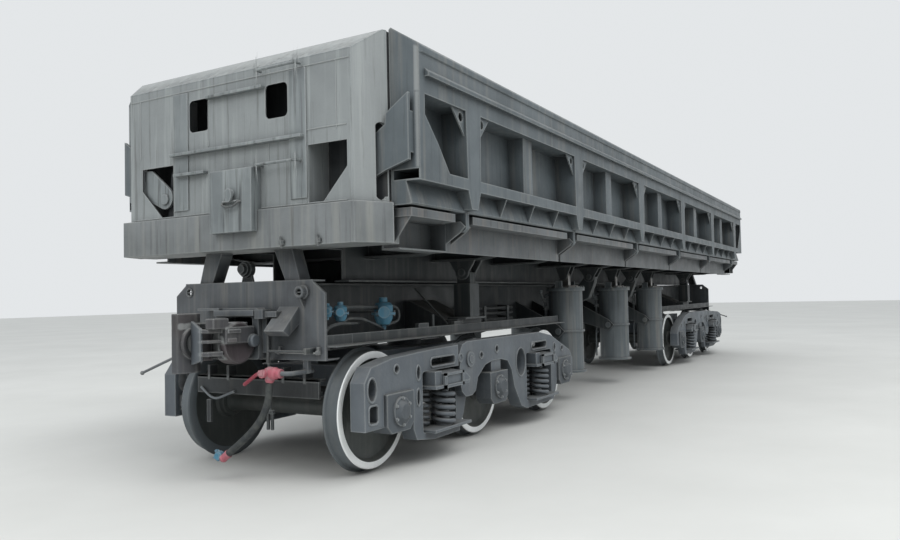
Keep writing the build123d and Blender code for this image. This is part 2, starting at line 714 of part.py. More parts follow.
def side_edge():
    """Edge web with its lip, slotted at each hinge and set back at both ends, near side."""
    top = FLOOR_Z - FLOOR_T
    back = WALL_BACK_X - BAND_BACK
    end = END_POST_X + WEB_END
    deep = -WEB_Y + WEB_INSET
    web = block((-end, end), (-WEB_Y, -WEB_Y + WEB_T), (FRAME_LOW, top))
    for x in POST_X[1:-1]:
        web -= block((x - SLOT_HALF, x + SLOT_HALF), (-WEB_Y - 1, -WEB_Y + WEB_T + 1),
                     (FRAME_LOW - 1, SLOT_TOP))
    pieces = [web]
    for side in (-1, 1):
        x = sorted((side * (end - WEB_T), side * back))
        pieces.append(block(x, (deep - WEB_T, deep), (FRAME_LOW, top)))
        pieces.append(block(x, (-WEB_Y, deep), (FRAME_LOW, FRAME_LOW + WEB_T)))
        pieces.append(block(x, (-WEB_Y, deep), (LIP_Z - LIP_T, LIP_Z - LIP_T + WEB_T)))
        pieces.append(block(sorted((side * end, side * (end - WEB_T))), (-WEB_Y, deep), (FRAME_LOW, top)))
        rib = outline([(-WEB_Y, LIP_Z - LIP_T), (-LIP_Y + 20, LIP_Z - LIP_T), (-WEB_Y, LIP_Z - LIP_T - 185)])
        pieces.append(slab_x(rib, sorted((side * (back + 55), side * (back + 69)))))
    for low, high in hinge_gaps():
        plan = outline([(low, -WEB_Y), (low, -LIP_Y), (high - LIP_BEVEL, -LIP_Y), (high, -WEB_Y)])
        pieces.append(slab_z(plan, (LIP_Z - LIP_T, LIP_Z)))
    for x in POST_X:
        pieces.append(hinge_bracket(x))
    return joined(pieces)


def hinge_bracket(x):
    """Two cheeks on the floor's edge that carry a board hinge, near side."""
    shape = outline([(-WEB_Y, HINGE_Z - 130), (-WEB_Y, HINGE_Z + HINGE_EYE_R),
                     (-HINGE_Y, HINGE_Z + HINGE_EYE_R),
                     (-HINGE_Y - HINGE_EYE_R, HINGE_Z), (-HINGE_Y, HINGE_Z - HINGE_EYE_R)])
    pieces = []
    for side in (-1, 1):
        inner = x + side * (HINGE_LUG / 2 + HINGE_GAP)
        pieces.append(slab_x(shape, sorted((inner, inner + side * HINGE_CHEEK))))
    half = HINGE_LUG / 2 + HINGE_GAP + HINGE_CHEEK
    pieces.append(rod_x(HINGE_PIN_R, (x - half, x + half), -HINGE_Y, HINGE_Z))
    return joined(pieces)


def cross_member(x):
    """Tapered cross-beam under the floor."""
    top = FLOOR_Z - FLOOR_T
    half = [(0, FRAME_LOW), (PIN_Y + 170, FRAME_LOW), (WEB_Y - WEB_T, FRAME_LOW + 70), (WEB_Y - WEB_T, top)]
    points = half + [(-y, z) for y, z in reversed(half[1:])]
    beam = slab_x(outline(points), (x - CROSS_HALF, x + CROSS_HALF))
    low = FRAME_LOW + FLANGE_SHEET
    side = [(0, low), (PIN_Y + 160, low), (WEB_Y - WEB_T, low + 70), (WEB_Y - WEB_T, top - FLANGE_SHEET)]
    hollow = outline(side + [(-y, z) for y, z in reversed(side[1:])])
    for s in (-1, 1):
        beam -= slab_x(hollow, sorted((x + s * WEB_T / 2, x + s * (CROSS_HALF + 1))))
    return beam


def long_beam(side, members):
    """Deep beam along the body that reaches down beside the sill, notched over the cross members."""
    top = FLOOR_Z - FLOOR_T
    back = WALL_BACK_X - BAND_BACK
    y = side * BEAM_Y
    half = WEB_T / 2
    beam = block((-BEAM_X, BEAM_X), (y - half, y + half), (BEAM_LOW, top))
    beam += block((-BEAM_X, BEAM_X), (y - BEAM_HALF, y + BEAM_HALF), (BEAM_LOW, BEAM_LOW + FLANGE_SHEET))
    beam += block((-back, back), (y - half, y + half), (FRAME_LOW + 60, top))
    for member in members:
        beam -= member
    return beam


def end_wall():
    """Hollow front wall with its bevelled top, windows, lever openings and side slots."""
    def shell(inset):
        face = outline([(-WALL_X + inset, FLOOR_Z + inset), (-WALL_X + inset, WALL_TOP - inset),
                        (-WALL_BACK_X - 30, WALL_RIDGE - inset), (-WALL_BACK_X - inset, WALL_RIDGE - inset),
                        (-WALL_BACK_X - inset, FLOOR_Z + inset)])
        plan = outline([(-WALL_X, -WALL_HALF + inset), (-WALL_X, WALL_HALF - inset),
                        (-WALL_BACK_X, WALL_BACK_HALF - inset), (-WALL_BACK_X, -WALL_BACK_HALF + inset)])
        return slab_y(face, (-WALL_BACK_HALF, WALL_BACK_HALF)) & slab_z(plan, (FLOOR_Z, WALL_RIDGE + 10))

    wall = shell(0) - shell(WALL_SHEET)
    front = (-WALL_X - 1, -WALL_X + WALL_SHEET + 1)
    for y in (346, -486):
        wall -= slab_x(Pos(y, RAIL + 2875) * RectangleRounded(222, 260, 40), front)
    for points in (RIGHT_OPENING, LEFT_OPENING):
        wall -= slab_x(outline([(y, RAIL + z) for y, z in points]), front)
    for side in (-1, 1):
        y = sorted((side * 1180, side * 1400))
        pocket = block((-WALL_BACK_X - 90, -WALL_BACK_X - WALL_SHEET), y, (SLOT_LOW, SLOT_HIGH))
        wall -= pocket
    return wall


def wall_trim():
    """Raised panel, ledges, handrails and mechanism cover on the front wall's face."""
    x = -WALL_X
    panel = [block((x - 12, x), (-784, -620), (RAIL + 2110, RAIL + 3120)),
             block((x - 12, x), (470, 640), (RAIL + 2110, RAIL + 3120))]
    ledges = [block((x - 55, x), (-764, 648), (RAIL + 2560, RAIL + 2584)),
              block((x - 50, x), (-375, 231), (RAIL + 2985, RAIL + 3008)),
              block((x - 55, x), (251, 600), (RAIL + 2390, RAIL + 2414))]
    header = [block((x - 16, x), (-WALL_HALF, WALL_HALF), (RAIL + 3085, RAIL + 3150))]
    return panel + ledges + header


def handrail(y0, y1, z):
    """A bent handrail standing off the front wall."""
    x = -WALL_X
    out = x - 75
    bar = rod_y(11, out, (y0, y1), z)
    ends = [rod_x(11, (out - 11, x), y, z) for y in (y0 + 11, y1 - 11)]
    return joined([bar] + ends)


def mechanism_cover():
    """The housing of the board-locking gear in the middle of the front wall."""
    x = -WALL_X
    y = (-322, 120)
    cover = block((x - 110, x - BAND_OUT), y, (RAIL + 1888, RAIL + 2388))
    cover += block((x - BAND_OUT, x), y, (FLOOR_Z, RAIL + 2388))
    slope = slab_y(outline([(x - 111, RAIL + 2389), (x - 1, RAIL + 2389), (x - 111, RAIL + 2374)]),
                   (y[0] - 1, y[1] + 1))
    knob = rod_x(34, (x - 150, x - 110), -110, RAIL + 2184)
    bar = block((x - 135, x - 110), (-190, -40), (RAIL + 2118, RAIL + 2132))
    return cover - slope + knob + bar


def locking_lever(y):
    """Lever plate with its pin, inside an opening of the front wall."""
    x = -WALL_X + 70
    foot = FLOOR_Z + WALL_SHEET
    lever = slab_x(outline([(y - 60, foot), (y + 90, foot), (y + 40, RAIL + 2470), (y - 40, RAIL + 2470)]),
                   (x, x + 26))
    boss = rod_x(38, (x - 22, x), y + 10, RAIL + 2240)
    return lever + boss


# Side boards

def arm_plate():
    """Plate on the board's end that swings out of the end wall's slot."""
    shape = outline([(-BOARD_OUT_Y + 5, RAIL + 2345), (-BOARD_OUT_Y + 5, RAIL + 2830),
                     (-BOARD_IN_Y - 8, RAIL + 2700),
                     (-BOARD_IN_Y, RAIL + 2620), (-1235, RAIL + 2550), (-1235, RAIL + 2240),
                     (-BOARD_IN_Y, RAIL + 2285)])
    arm = slab_x(shape, (-BOARD_X - 70, -BOARD_X - 42))
    spacer = block((-BOARD_X - 42, -BOARD_X), (-BOARD_OUT_Y + 5, -BOARD_IN_Y - 8), (RAIL + 2400, RAIL + 2700))
    return arm + spacer


def board_profile():
    """Sheet with the sloped rim, upper chord, lower bar and skirt, as one section in (y, z)."""
    skin = -BOARD_IN_Y - BOARD_SKIN
    out = -POST_OUT_Y
    rim = out - RIM_OUT
    return [
        (-BOARD_IN_Y, BOARD_LOW), (-BOARD_OUT_Y + 42, BOARD_LOW), (-BOARD_OUT_Y + 32, BOARD_LOW + 12),
        (-BOARD_OUT_Y + 76, SILL_BAR_LOW), (out, SILL_BAR_LOW), (out, SILL_BAR_HIGH),
        (skin, SILL_BAR_HIGH), (skin, CHORD_LOW), (out, CHORD_LOW), (out, RIM_LOW), (rim, RIM_LOW + 8),
        (rim, RIM_TOP - 18), (rim + 16, RIM_TOP), (-BOARD_IN_Y - 18, BOARD_TOP), (-BOARD_IN_Y, BOARD_TOP - 14),
    ]


def board_hollows():
    """Spaces inside the upper chord and the skirt, and the lower bar's bore, open at its ends."""
    skin = -BOARD_IN_Y - BOARD_SKIN
    inner = -BOARD_IN_Y - BOARD_SHEET
    out = -POST_OUT_Y + BOARD_SHEET
    length = (-BOARD_X + BOARD_SHEET, BOARD_X - BOARD_SHEET)
    chord = outline([
        (inner, CHORD_LOW + BOARD_SHEET), (out, CHORD_LOW + BOARD_SHEET), (out, RIM_TOP - 30),
        (inner - 20, BOARD_TOP - 35),
        (inner, BOARD_TOP - 45),
    ])
    skirt = outline([
        (inner, BOARD_LOW + BOARD_SHEET), (-BOARD_OUT_Y + 50, BOARD_LOW + BOARD_SHEET),
        (-BOARD_OUT_Y + 92, SILL_BAR_LOW - 2), (inner, SILL_BAR_LOW - 2),
    ])
    bar = block((-BOARD_X - 1, BOARD_X + 1), (out, skin),
                (SILL_BAR_LOW + BOARD_SHEET, SILL_BAR_HIGH - BOARD_SHEET))
    return [slab_x(chord, length), slab_x(skirt, length), bar]


def board_knee(side):
    """Corner plate flush with the posts, with the end plate behind it."""
    out = -POST_OUT_Y
    start = side * BOARD_X
    knee = outline([(start, CHORD_LOW + 1), (start, SILL_BAR_HIGH - 1), (side * 6480, SILL_BAR_HIGH - 1),
                    (side * 6650, RAIL + 2505), (side * LEDGE_X, RAIL + 2690), (side * LEDGE_X, CHORD_LOW + 1)])
    plate = slab_y(knee, (out, out + 14))
    end = block(sorted((start, start - side * 14)), (out, -BOARD_IN_Y - BOARD_SKIN + 1),
                (SILL_BAR_HIGH - 1, CHORD_LOW + 1))
    return plate + end


def board_sheet():
    """The board's section and corner plates, with its two outer corners eased."""
    board = slab_x(outline(board_profile()), (-BOARD_X, BOARD_X))
    for hollow in board_hollows():
        board -= hollow
    board = joined([board, board_knee(-1), board_knee(1)])
    out = -POST_OUT_Y - RIM_OUT - 1
    corner = [(BOARD_X + 1, out + CORNER), (BOARD_X - CORNER / 4, out + CORNER / 4), (BOARD_X - CORNER, out),
              (BOARD_X + 1, out)]
    cut = slab_z(outline(corner), (BOARD_LOW - 1, BOARD_TOP + 1))
    return board - cut - mirror(cut, about=Plane.YZ)


def board_ledge():
    out = -POST_OUT_Y
    face = outline([(out + 1, LEDGE_LOW), (out - LEDGE_OUT, LEDGE_LOW), (out - LEDGE_OUT, LEDGE_LOW + 30),
                    (out - 4, LEDGE_LOW + 62), (out + 1, LEDGE_LOW + 62)])
    return slab_x(face, (-LEDGE_X, LEDGE_X))


def post(x):
    """Tapered outer post, pressed from sheet, that ends in a pointed foot."""
    skin = -BOARD_IN_Y - BOARD_SKIN
    low = POST_HALF - 26
    face = outline([(x - POST_HALF, CHORD_LOW + 60), (x + POST_HALF, CHORD_LOW + 60), (x + low, SILL_BAR_LOW),
                    (x + POST_TIP_HALF, POST_TIP_Z), (x - POST_TIP_HALF, POST_TIP_Z), (x - low, SILL_BAR_LOW)])
    hollow = offset(face, -BOARD_SHEET, kind=Kind.INTERSECTION)
    return slab_y(face, (-POST_OUT_Y, skin)) - slab_y(hollow, (-POST_OUT_Y + BOARD_SHEET, skin))


def middle_post(x):
    """Straight post between two outer posts, set back from their faces."""
    skin = -BOARD_IN_Y - BOARD_SKIN
    z = (SILL_BAR_HIGH - 1, CHORD_LOW + 1)
    half = MID_POST_HALF - BOARD_SHEET
    shell = block((x - MID_POST_HALF, x + MID_POST_HALF), (-MID_POST_Y, skin), z)
    return shell - block((x - half, x + half), (-MID_POST_Y + BOARD_SHEET, skin), z)


def gusset(x, side):
    """Corner plate with a round hole beside a post's head."""
    near = x + side * (POST_HALF - 20)
    tip = x + side * (POST_HALF + 185)
    face = outline([(near, CHORD_LOW + 1), (tip, CHORD_LOW + 1), (near, CHORD_LOW - 215)])
    face -= Pos(x + side * (POST_HALF + 48), CHORD_LOW - 58) * Circle(36)
    return slab_y(face, (-POST_OUT_Y + 20, -POST_OUT_Y + 34))


def skirt_rib(x):
    """Three-cornered rib between the lower bar and the skirt."""
    face = outline([(-POST_OUT_Y + 4, SILL_BAR_LOW + 1), (-BOARD_OUT_Y + 90, SILL_BAR_LOW + 1),
                    (-BOARD_OUT_Y + 50, BOARD_LOW + 14), (-BOARD_OUT_Y + 30, BOARD_LOW + 14)])
    return slab_x(face, (x - 6, x + 6))


def hinge_lug(x):
    """Lug under a post that turns on the hinge pin."""
    shape = outline([(-BOARD_IN_Y - 20, BOARD_LOW), (-HINGE_Y - HINGE_EYE_R, BOARD_LOW),
                     (-HINGE_Y - HINGE_EYE_R, HINGE_Z),
                     (-HINGE_Y + HINGE_EYE_R, HINGE_Z)])
    shape += Pos(-HINGE_Y, HINGE_Z) * Circle(HINGE_EYE_R)
    shape -= Pos(-HINGE_Y, HINGE_Z) * Circle(HINGE_PIN_R + 0.5)
    return slab_x(shape, (x - HINGE_LUG / 2, x + HINGE_LUG / 2))


def side_board():
    pieces = [board_sheet(), board_ledge()]
    for x in POST_X:
        pieces += [post(x), hinge_lug(x), gusset(x, -1), gusset(x, 1)]
    for a, b in zip(POST_X, POST_X[1:]):
        pieces.append(middle_post((a + b) / 2))
        pieces += [skirt_rib(a + (b - a) * n / (RIBS + 1)) for n in range(1, RIBS + 1)]
    pieces.append(arm_plate())
    pieces.append(rear(far(arm_plate())))
    return joined(pieces)


# Coupler, air brake and other gear

COUPLER_Z = RAIL + 1060
COUPLER_PIVOT_X = 6480
COUPLER_PIN_R = 30
NECK_HALF = 85
COCK_Y = -410
COCK_Z = RAIL + 805
HOSE_X = 7250
HOSE_R = 27


def coupler():
    """Rigid-jaw automatic coupler: shank, head, big tooth on the left of the picture, small tooth, lock."""
    face = END_X
    head = outline([
        (-face - 130, -NECK_HALF - 15), (-face - 250, -185), (-face - 440, -200), (-face - 500, -165),
        (-face - 480, -100), (-face - 385, -62), (-face - 360, 20), (-face - 385, 118), (-face - 500, 140),
        (-face - 550, 175), (-face - 540, 232), (-face - 330, 242), (-face - 215, 150),
        (-face - 130, NECK_HALF + 10),
    ])
    body = slab_z(head, (COUPLER_Z - 130, COUPLER_Z + 120))
    tooth = outline([(-face - 330, 150), (-face - 385, 118), (-face - 500, 140), (-face - 550, 175),
                     (-face - 540, 232),
                     (-face - 330, 242)])
    body += slab_z(tooth, (COUPLER_Z - 235, COUPLER_Z + 215))
    small = outline([(-face - 330, -190), (-face - 440, -200), (-face - 500, -165), (-face - 480, -100),
                     (-face - 385, -62), (-face - 330, -80)])
    body += slab_z(small, (COUPLER_Z - 185, COUPLER_Z + 175))
    body += block((-face - 160, -face - 110), (-130, 130), (COUPLER_Z - 130, COUPLER_Z + 165))
    body += rod_y(185, -face - 305, (-155, -80), COUPLER_Z - 18)
    for z in (COUPLER_Z - 60, COUPLER_Z + 20):
        body -= block((-face - 330, -face - 200), (-260, -150), (z, z + 50))
    shank = block((-face - 130, -COUPLER_PIVOT_X + 90), (-NECK_HALF, NECK_HALF),
                  (COUPLER_Z - 75, COUPLER_Z + 75))
    eye = rod_z(60, -COUPLER_PIVOT_X, 0, (COUPLER_Z - 75, COUPLER_Z + 75))
    lock = block((-face - 430, -face - 350), (22, 100), (COUPLER_Z - 110, COUPLER_Z + 100))
    return body + shank + eye + lock


def coupler_pin():
    """Upright pin through the sill that the coupler's shank turns about."""
    hole = rod_z(COUPLER_PIN_R + PIN_GAP, -COUPLER_PIVOT_X, 0, (COUPLER_Z - 76, COUPLER_Z + 76))
    pin = rod_z(COUPLER_PIN_R, -COUPLER_PIVOT_X, 0, (SILL_LOW + SILL_PLATE, SILL_HIGH))
    return hole, pin


def hanger_gear():
    """Uncoupling rod with its bracket on the front end beam."""
    x = -END_X
    rod = rod_z(12, x - 110, -335, (RAIL + 880, RAIL + 1134))
    bar = rod_y(10, x - 110, (-700, -329), RAIL + 975)
    bracket = block((x - 122, x), (-716, -696), (RAIL + 955, RAIL + 1000))
    clamp = block((x - 122, x), (-350, -320), (RAIL + 1110, RAIL + 1150))
    return joined([rod, bar, bracket, clamp])


def end_cock():
    """Angle cock on its pipe below the end beam."""
    x = -HOSE_X + 40
    pipe = rod_x(17, (x, -END_X + 95), -600, COCK_Z + 10)
    bend = rod_y(17, x, (-617, COCK_Y - 60), COCK_Z + 10)
    body = rod_y(36, x, (COCK_Y - 60, COCK_Y + 40), COCK_Z + 10)
    nose = Pos(x, COCK_Y + 10, COCK_Z - 30) * Box(50, 50, 70)
    handle = block((x - 10, x + 10), (COCK_Y - 10, COCK_Y + 170), (COCK_Z + 46, COCK_Z + 58))
    strap = block((-END_X + 10, -END_X + 50), (-625, -575), (COCK_Z + 5, END_LOW))
    return joined([pipe, bend, body, nose, handle, strap])


HOSE_ROUTE = [
    (-7210, -400, 768), (-7210, -400, 672), (-7218, -367, 557), (-7230, -294, 449), (-7241, -200, 359),
    (-7249, -98, 279),
    (-7254, 7, 203),
]


def brake_hose():
    """Air hose from the end cock to its coupling head."""
    points = [Vector(*p) for p in HOSE_ROUTE]
    radii = []
    for a, b, c in zip(points, points[1:], points[2:]):
        turn = (b - a).get_angle(c - b)
        shorter = min((b - a).length, (c - b).length)
        radii.append(0.45 * shorter / abs(sin(radians(turn / 2)) / cos(radians(turn / 2))))
    path = FilletPolyline(*points, radius=radii)
    start = Plane(origin=path @ 0, z_dir=path % 0)
    tube = sweep(start * Circle(HOSE_R), path=path)
    print("hose radii", [round(r) for r in radii], "length", round(path.length),
          "volume share", round(tube.volume / (path.length * 3.14159 * HOSE_R ** 2), 4))
    return tube


def hose_head():
    """Coupling head at the hose's free end, in line with its last run."""
    a, b = [Vector(*p) for p in HOSE_ROUTE[-2:]]
    along = (b - a).normalized()
    place = Plane(origin=b, z_dir=along)
    sleeve = place * Pos(0, 0, 30) * Cylinder(34, 60)
    claw = place * Pos(0, 12, 85) * Box(60, 100, 50)
    return sleeve + claw


def air_reservoirs():
    tanks = []
    for x, y in ((-1010, -330), (1010, 330)):
        tank = rod_x(150, (x - 330, x + 330), y, RAIL + 770)
        tank = tank.fillet(60, tank.edges()) - rod_x(142, (x - 300, x + 300), y, RAIL + 770)
        side = y / abs(y)
        reach = sorted((side * SILL_HALF, y))
        straps = [block((x + s * 190 - 15, x + s * 190 + 15), reach, (RAIL + 905, SILL_LOW - 15))
                  for s in (-1, 1)]
        tanks.append(joined([tank] + straps))
    return tanks


# Bodies to files

os.makedirs("parts", exist_ok=True)

for n, bogie_x in enumerate((-BOGIE_X, BOGIE_X)):
    for m, step in enumerate((-AXLE_STEP, 0, AXLE_STEP)):
        save(f"wheelset_{n * 3 + m + 1}", wheelset(bogie_x + step))

castings = [outer_casting(), inner_casting() + knuckle_pin(), middle_adapter()]
castings += [far(c) for c in castings]
boxes = [axle_box(x) for x in (-AXLE_STEP, 0, AXLE_STEP)]
boxes += [far(b) for b in boxes]
springs = [s for x in (-SPRING_X, SPRING_X) for s in spring_nest(x)]
springs += [far(s) for s in springs]
seats = [spring_seat(x) for x in (-SPRING_X, SPRING_X)]
seats += [far(s) for s in seats]
frame = bogie_frame()
brakes = brake_beams() + hangers()

for end, place in (("front", Pos(-BOGIE_X, 0, 0)), ("rear", Pos(BOGIE_X, 0, 0) * Rot(0, 0, 180))):
    save(f"side_frames_{end}", *[place * c for c in castings])
    save(f"axle_boxes_{end}", *[place * b for b in boxes])
    save(f"springs_{end}", *[place * s for s in springs + seats])
    save(f"bolsters_{end}", place * frame)
    save(f"brake_gear_{end}", *[place * b for b in brakes])

hole, pin = coupler_pin()
sill = centre_sill() + pin + rear(pin)
save("centre_sill", sill)
save("centre_pivots", centre_pivot(-BOGIE_X), centre_pivot(BOGIE_X))
beam_front = end_beam() + end_ring()
save("end_beam_front", beam_front)
save("end_beam_rear", rear(beam_front))
rests = rest_legs()
save("end_rests", *rests, *[rear(r) for r in rests])
save("cross_beams", *[b for x in (-BOGIE_X, BOGIE_X) for b in cross_beam(x)])
angle = side_angle()
save("side_angles", angle, far(angle), rear(angle), rear(far(angle)))
arms = [saddle_column(x) if abs(x) == BOGIE_X else saddle_arm(x) for x in STATIONS]
save("saddle_arms", *arms, *[far(a) for a in arms])
brackets = [b for x in CYL_X for b in trunnion_bracket(x)]
save("trunnion_brackets", *brackets, *[far(b) for b in brackets])
save("coupler_front", coupler() - hole)
save("coupler_rear", rear(coupler() - hole))
gear = hanger_gear()
save("uncoupling_rods", gear, rear(gear))
cock = end_cock()
save("end_cocks", cock, rear(cock))
hose = brake_hose()
head = hose_head()
save("brake_hose_front", hose)
save("brake_hose_rear", rear(hose))
save("hose_head_front", head)
save("hose_head_rear", rear(head))
save("air_reservoirs", *air_reservoirs())

save("tip_pins", *[tip_pin(x) for x in STATIONS])

save("floor_plate", floor_plate())
members = [cross_member(x) for x in CROSS_X]
save("cross_members", *members)
save("long_beams", long_beam(-1, members), long_beam(1, members))
edge = side_edge()
save("floor_edges", edge, far(edge))
band = end_band()
save("end_bands", band, rear(band))
ears = [e for x in STATIONS for e in (ear_pair(x, True), ear_pair(x, False))]
save("tip_ears", *ears)
cheeks = [c for x in CYL_X for c in rod_cheeks(x)]
save("rod_cheeks", *cheeks, *[far(c) for c in cheeks])
wall = end_wall()
save("end_wall_front", wall)
save("end_wall_rear", rear(wall))
trim = wall_trim() + [handrail(-755, -346, RAIL + 3110), handrail(-741, -333, RAIL + 2390)]
save("wall_trim_front", *trim)
save("wall_trim_rear", *[rear(t) for t in trim])
gearbox = [mechanism_cover(), locking_lever(720), locking_lever(-960)]
save("locking_gear_front", *gearbox)
save("locking_gear_rear", *[rear(g) for g in gearbox])

board = side_board()
save("side_board_near", board)
save("side_board_far", far(board))

for side, place in (("near", lambda p: p), ("far", far)):
    save(f"cylinder_barrels_{side}", *[place(barrel(x)) for x in CYL_X])
    save(f"cylinder_stages_{side}", *[place(first_stage(x)) for x in CYL_X])
    save(f"cylinder_rods_{side}", *[place(second_stage(x)) for x in CYL_X])
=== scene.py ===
from math import cos, pi, radians, sin

import bmesh
import bpy
from mathutils import Matrix, Vector


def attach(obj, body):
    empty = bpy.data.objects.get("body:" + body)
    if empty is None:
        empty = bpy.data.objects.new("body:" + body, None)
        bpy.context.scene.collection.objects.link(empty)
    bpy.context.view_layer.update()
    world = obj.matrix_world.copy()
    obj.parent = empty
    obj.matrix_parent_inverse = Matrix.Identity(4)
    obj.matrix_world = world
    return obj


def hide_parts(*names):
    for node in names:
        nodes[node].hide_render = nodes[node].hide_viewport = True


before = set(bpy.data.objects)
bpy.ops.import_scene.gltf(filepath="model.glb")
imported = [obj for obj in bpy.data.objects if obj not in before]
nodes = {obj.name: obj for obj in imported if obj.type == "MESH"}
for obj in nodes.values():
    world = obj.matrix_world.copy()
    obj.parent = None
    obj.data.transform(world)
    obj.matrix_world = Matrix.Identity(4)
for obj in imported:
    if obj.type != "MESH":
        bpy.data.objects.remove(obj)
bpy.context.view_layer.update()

# Six-axle rail dump wagon. Metres, Z up. The near side is -Y and the front end is -X, as in the CAD.
scene = bpy.context.scene
RAIL = 0.028
AXLE_Z = 0.498
BOGIES = (-4.75, 4.75)
AXLE_STEPS = (-1.75, 0.0, 1.75)
SPRING_X = 1.045
CASTING_FACE = 1.085
COVER_FACE = 1.13
END_X = 7.04
SILL_HALF = 0.165
CYLINDER_X = (-2.02, 0.0, 2.02)
CYLINDER_Y = 0.76
BARREL_R = 0.22
FLANGE_TOP = 1.473
WALL_X = 7.187
WALL_BACK_X = 6.935
WALL_BACK_Y = 1.335
BAND_FACE = 7.232
COVER_X = 7.297
COUPLER_Z = 1.088
# The rear end is the front one turned about the wagon's middle; the far side is the near one mirrored.
ENDS = {"front": Matrix.Identity(4), "rear": Matrix.Rotation(pi, 4, "Z")}
SIDES = {"near": Matrix.Identity(4), "far": Matrix.Scale(-1, 4, (0, 1, 0))}


def put_in(name, data):
    """A new object in the scene."""
    obj = bpy.data.objects.new(name, data)
    scene.collection.objects.link(obj)
    return obj


# Camera: where the photograph was taken from

def photo_camera():
    yaw, pitch, roll = 1.0492, 0.0346, -0.0214
    ahead = Vector((sin(yaw) * cos(pitch), cos(yaw) * cos(pitch), sin(pitch)))
    level = Vector((cos(yaw), -sin(yaw), 0))
    above = level.cross(ahead)
    right = level * cos(roll) + above * sin(roll)
    up = above * cos(roll) - level * sin(roll)
    data = bpy.data.cameras.new("photo_camera")
    data.sensor_width = 36
    data.lens = 30.37
    data.clip_end = 200
    camera = put_in("photo_camera", data)
    turn = Matrix((right, up, -ahead)).transposed().to_4x4()
    camera.matrix_world = Matrix.Translation((-11.4941, -4.4502, 1.3639 + RAIL)) @ turn
    scene.camera = camera


photo_camera()


# Finishes

def linear(colour):
    """A written sRGB colour, such as "7c8282", as linear red, green, blue and alpha."""
    parts = [int(colour[k:k + 2], 16) / 255 for k in (0, 2, 4)]
    return [p / 12.92 if p <= 0.04045 else ((p + 0.055) / 1.055) ** 2.4 for p in parts] + [1.0]


def add_node(tree, kind, inputs=None, **settings):
    """A node of that kind with its settings; an input is a value or the socket that feeds it."""
    node = tree.nodes.new(kind)
    for name, value in settings.items():
        setattr(node, name, value)
    for key, value in (inputs or {}).items():
        if isinstance(value, bpy.types.NodeSocket):
            tree.links.new(value, node.inputs[key])
        else:
            node.inputs[key].default_value = value
    return node


def finish_material(name, gloss=0.5, metallic=0.0):
    """A new material with its shader, and the object's own coordinates in metres."""
    material = bpy.data.materials.new(name)
    material.use_nodes = True
    tree = material.node_tree
    tree.nodes.clear()
    shader = add_node(tree, "ShaderNodeBsdfPrincipled", {"Metallic": metallic, "Roughness": gloss})
    add_node(tree, "ShaderNodeOutputMaterial", {"Surface": shader.outputs[0]})
    coords = add_node(tree, "ShaderNodeTexCoord").outputs["Object"]
    return material, tree, shader, coords


def mottling(tree, coords, patch, low, high, least=0.0, most=1.0, stretch=(1, 1, 1)):
    """Cloudy patches about patch millimetres across, from least where thin to most where thick."""
    placed = add_node(tree, "ShaderNodeMapping", {"Vector": coords, "Scale": stretch})
    cloud = add_node(tree, "ShaderNodeTexNoise", {
        "Vector": placed.outputs[0], "Scale": 1000 / patch, "Detail": 5.0, "Roughness": 0.6})
    spread = add_node(tree, "ShaderNodeMapRange", {
        "Value": cloud.outputs["Fac"], "From Min": low, "From Max": high, "To Min": least, "To Max": most})
    return spread.outputs[0]


def grime_and_painted_shade(tree, reach, most):
    """Grime and painted shade in corners, recesses and behind ribs, up to reach metres from where surfaces
    meet.
    """
    open_sky = add_node(tree, "ShaderNodeAmbientOcclusion", {"Distance": reach}, samples=6)
    spread = add_node(tree, "ShaderNodeMapRange", {
        "Value": open_sky.outputs["AO"], "From Min": 0.25, "From Max": 0.85, "To Min": most, "To Max": 0.0})
    return spread.outputs[0]


def rubbed_edges(tree, most):
    """Paint rubbed thin along outer edges, about 12 mm wide."""
    within = add_node(tree, "ShaderNodeAmbientOcclusion", {"Distance": 0.012}, samples=4, inside=True,
                      only_local=True)
    spread = add_node(tree, "ShaderNodeMapRange", {
        "Value": within.outputs["AO"], "From Min": 0.55, "From Max": 0.95, "To Min": most, "To Max": 0.0})
    return spread.outputs[0]


def settled_dust(tree, coords, most):
    """Dust that lies on what faces up, thinner in patches where it has been walked or rained off."""
    geometry = add_node(tree, "ShaderNodeNewGeometry")
    facing = add_node(tree, "ShaderNodeSeparateXYZ", {"Vector": geometry.outputs["Normal"]})
    flat = add_node(tree, "ShaderNodeMapRange", {
        "Value": facing.outputs["Z"], "From Min": 0.35, "From Max": 0.95, "To Min": 0.0, "To Max": most})
    patchy = mottling(tree, coords, 110, 0.3, 0.65, 0.45, 1.0)
    return add_node(tree, "ShaderNodeMath", {0: flat.outputs[0], 1: patchy}, operation="MULTIPLY").outputs[0]


def laid_over(tree, shader, ground, layers):
    """The ground colour under layers of fade, grime, painted shade and dust; each is how much shows and its
    colour.
    """
    tone = linear(ground)
    for cover, colour in layers:
        mix = add_node(tree, "ShaderNodeMix", {0: cover, 6: tone, 7: linear(colour)}, data_type="RGBA")
        tone = mix.outputs[2]
    tree.links.new(tone, shader.inputs["Base Color"])


def dented(tree, shader, coords, patch, strength, depth):
    """Gives the surface dents or grain about patch millimetres across, depth metres deep at full strength."""
    height = mottling(tree, coords, patch, 0.0, 1.0)
    bump = add_node(tree, "ShaderNodeBump", {"Height": height, "Strength": strength, "Distance": depth})
    tree.links.new(bump.outputs[0], shader.inputs["Normal"])


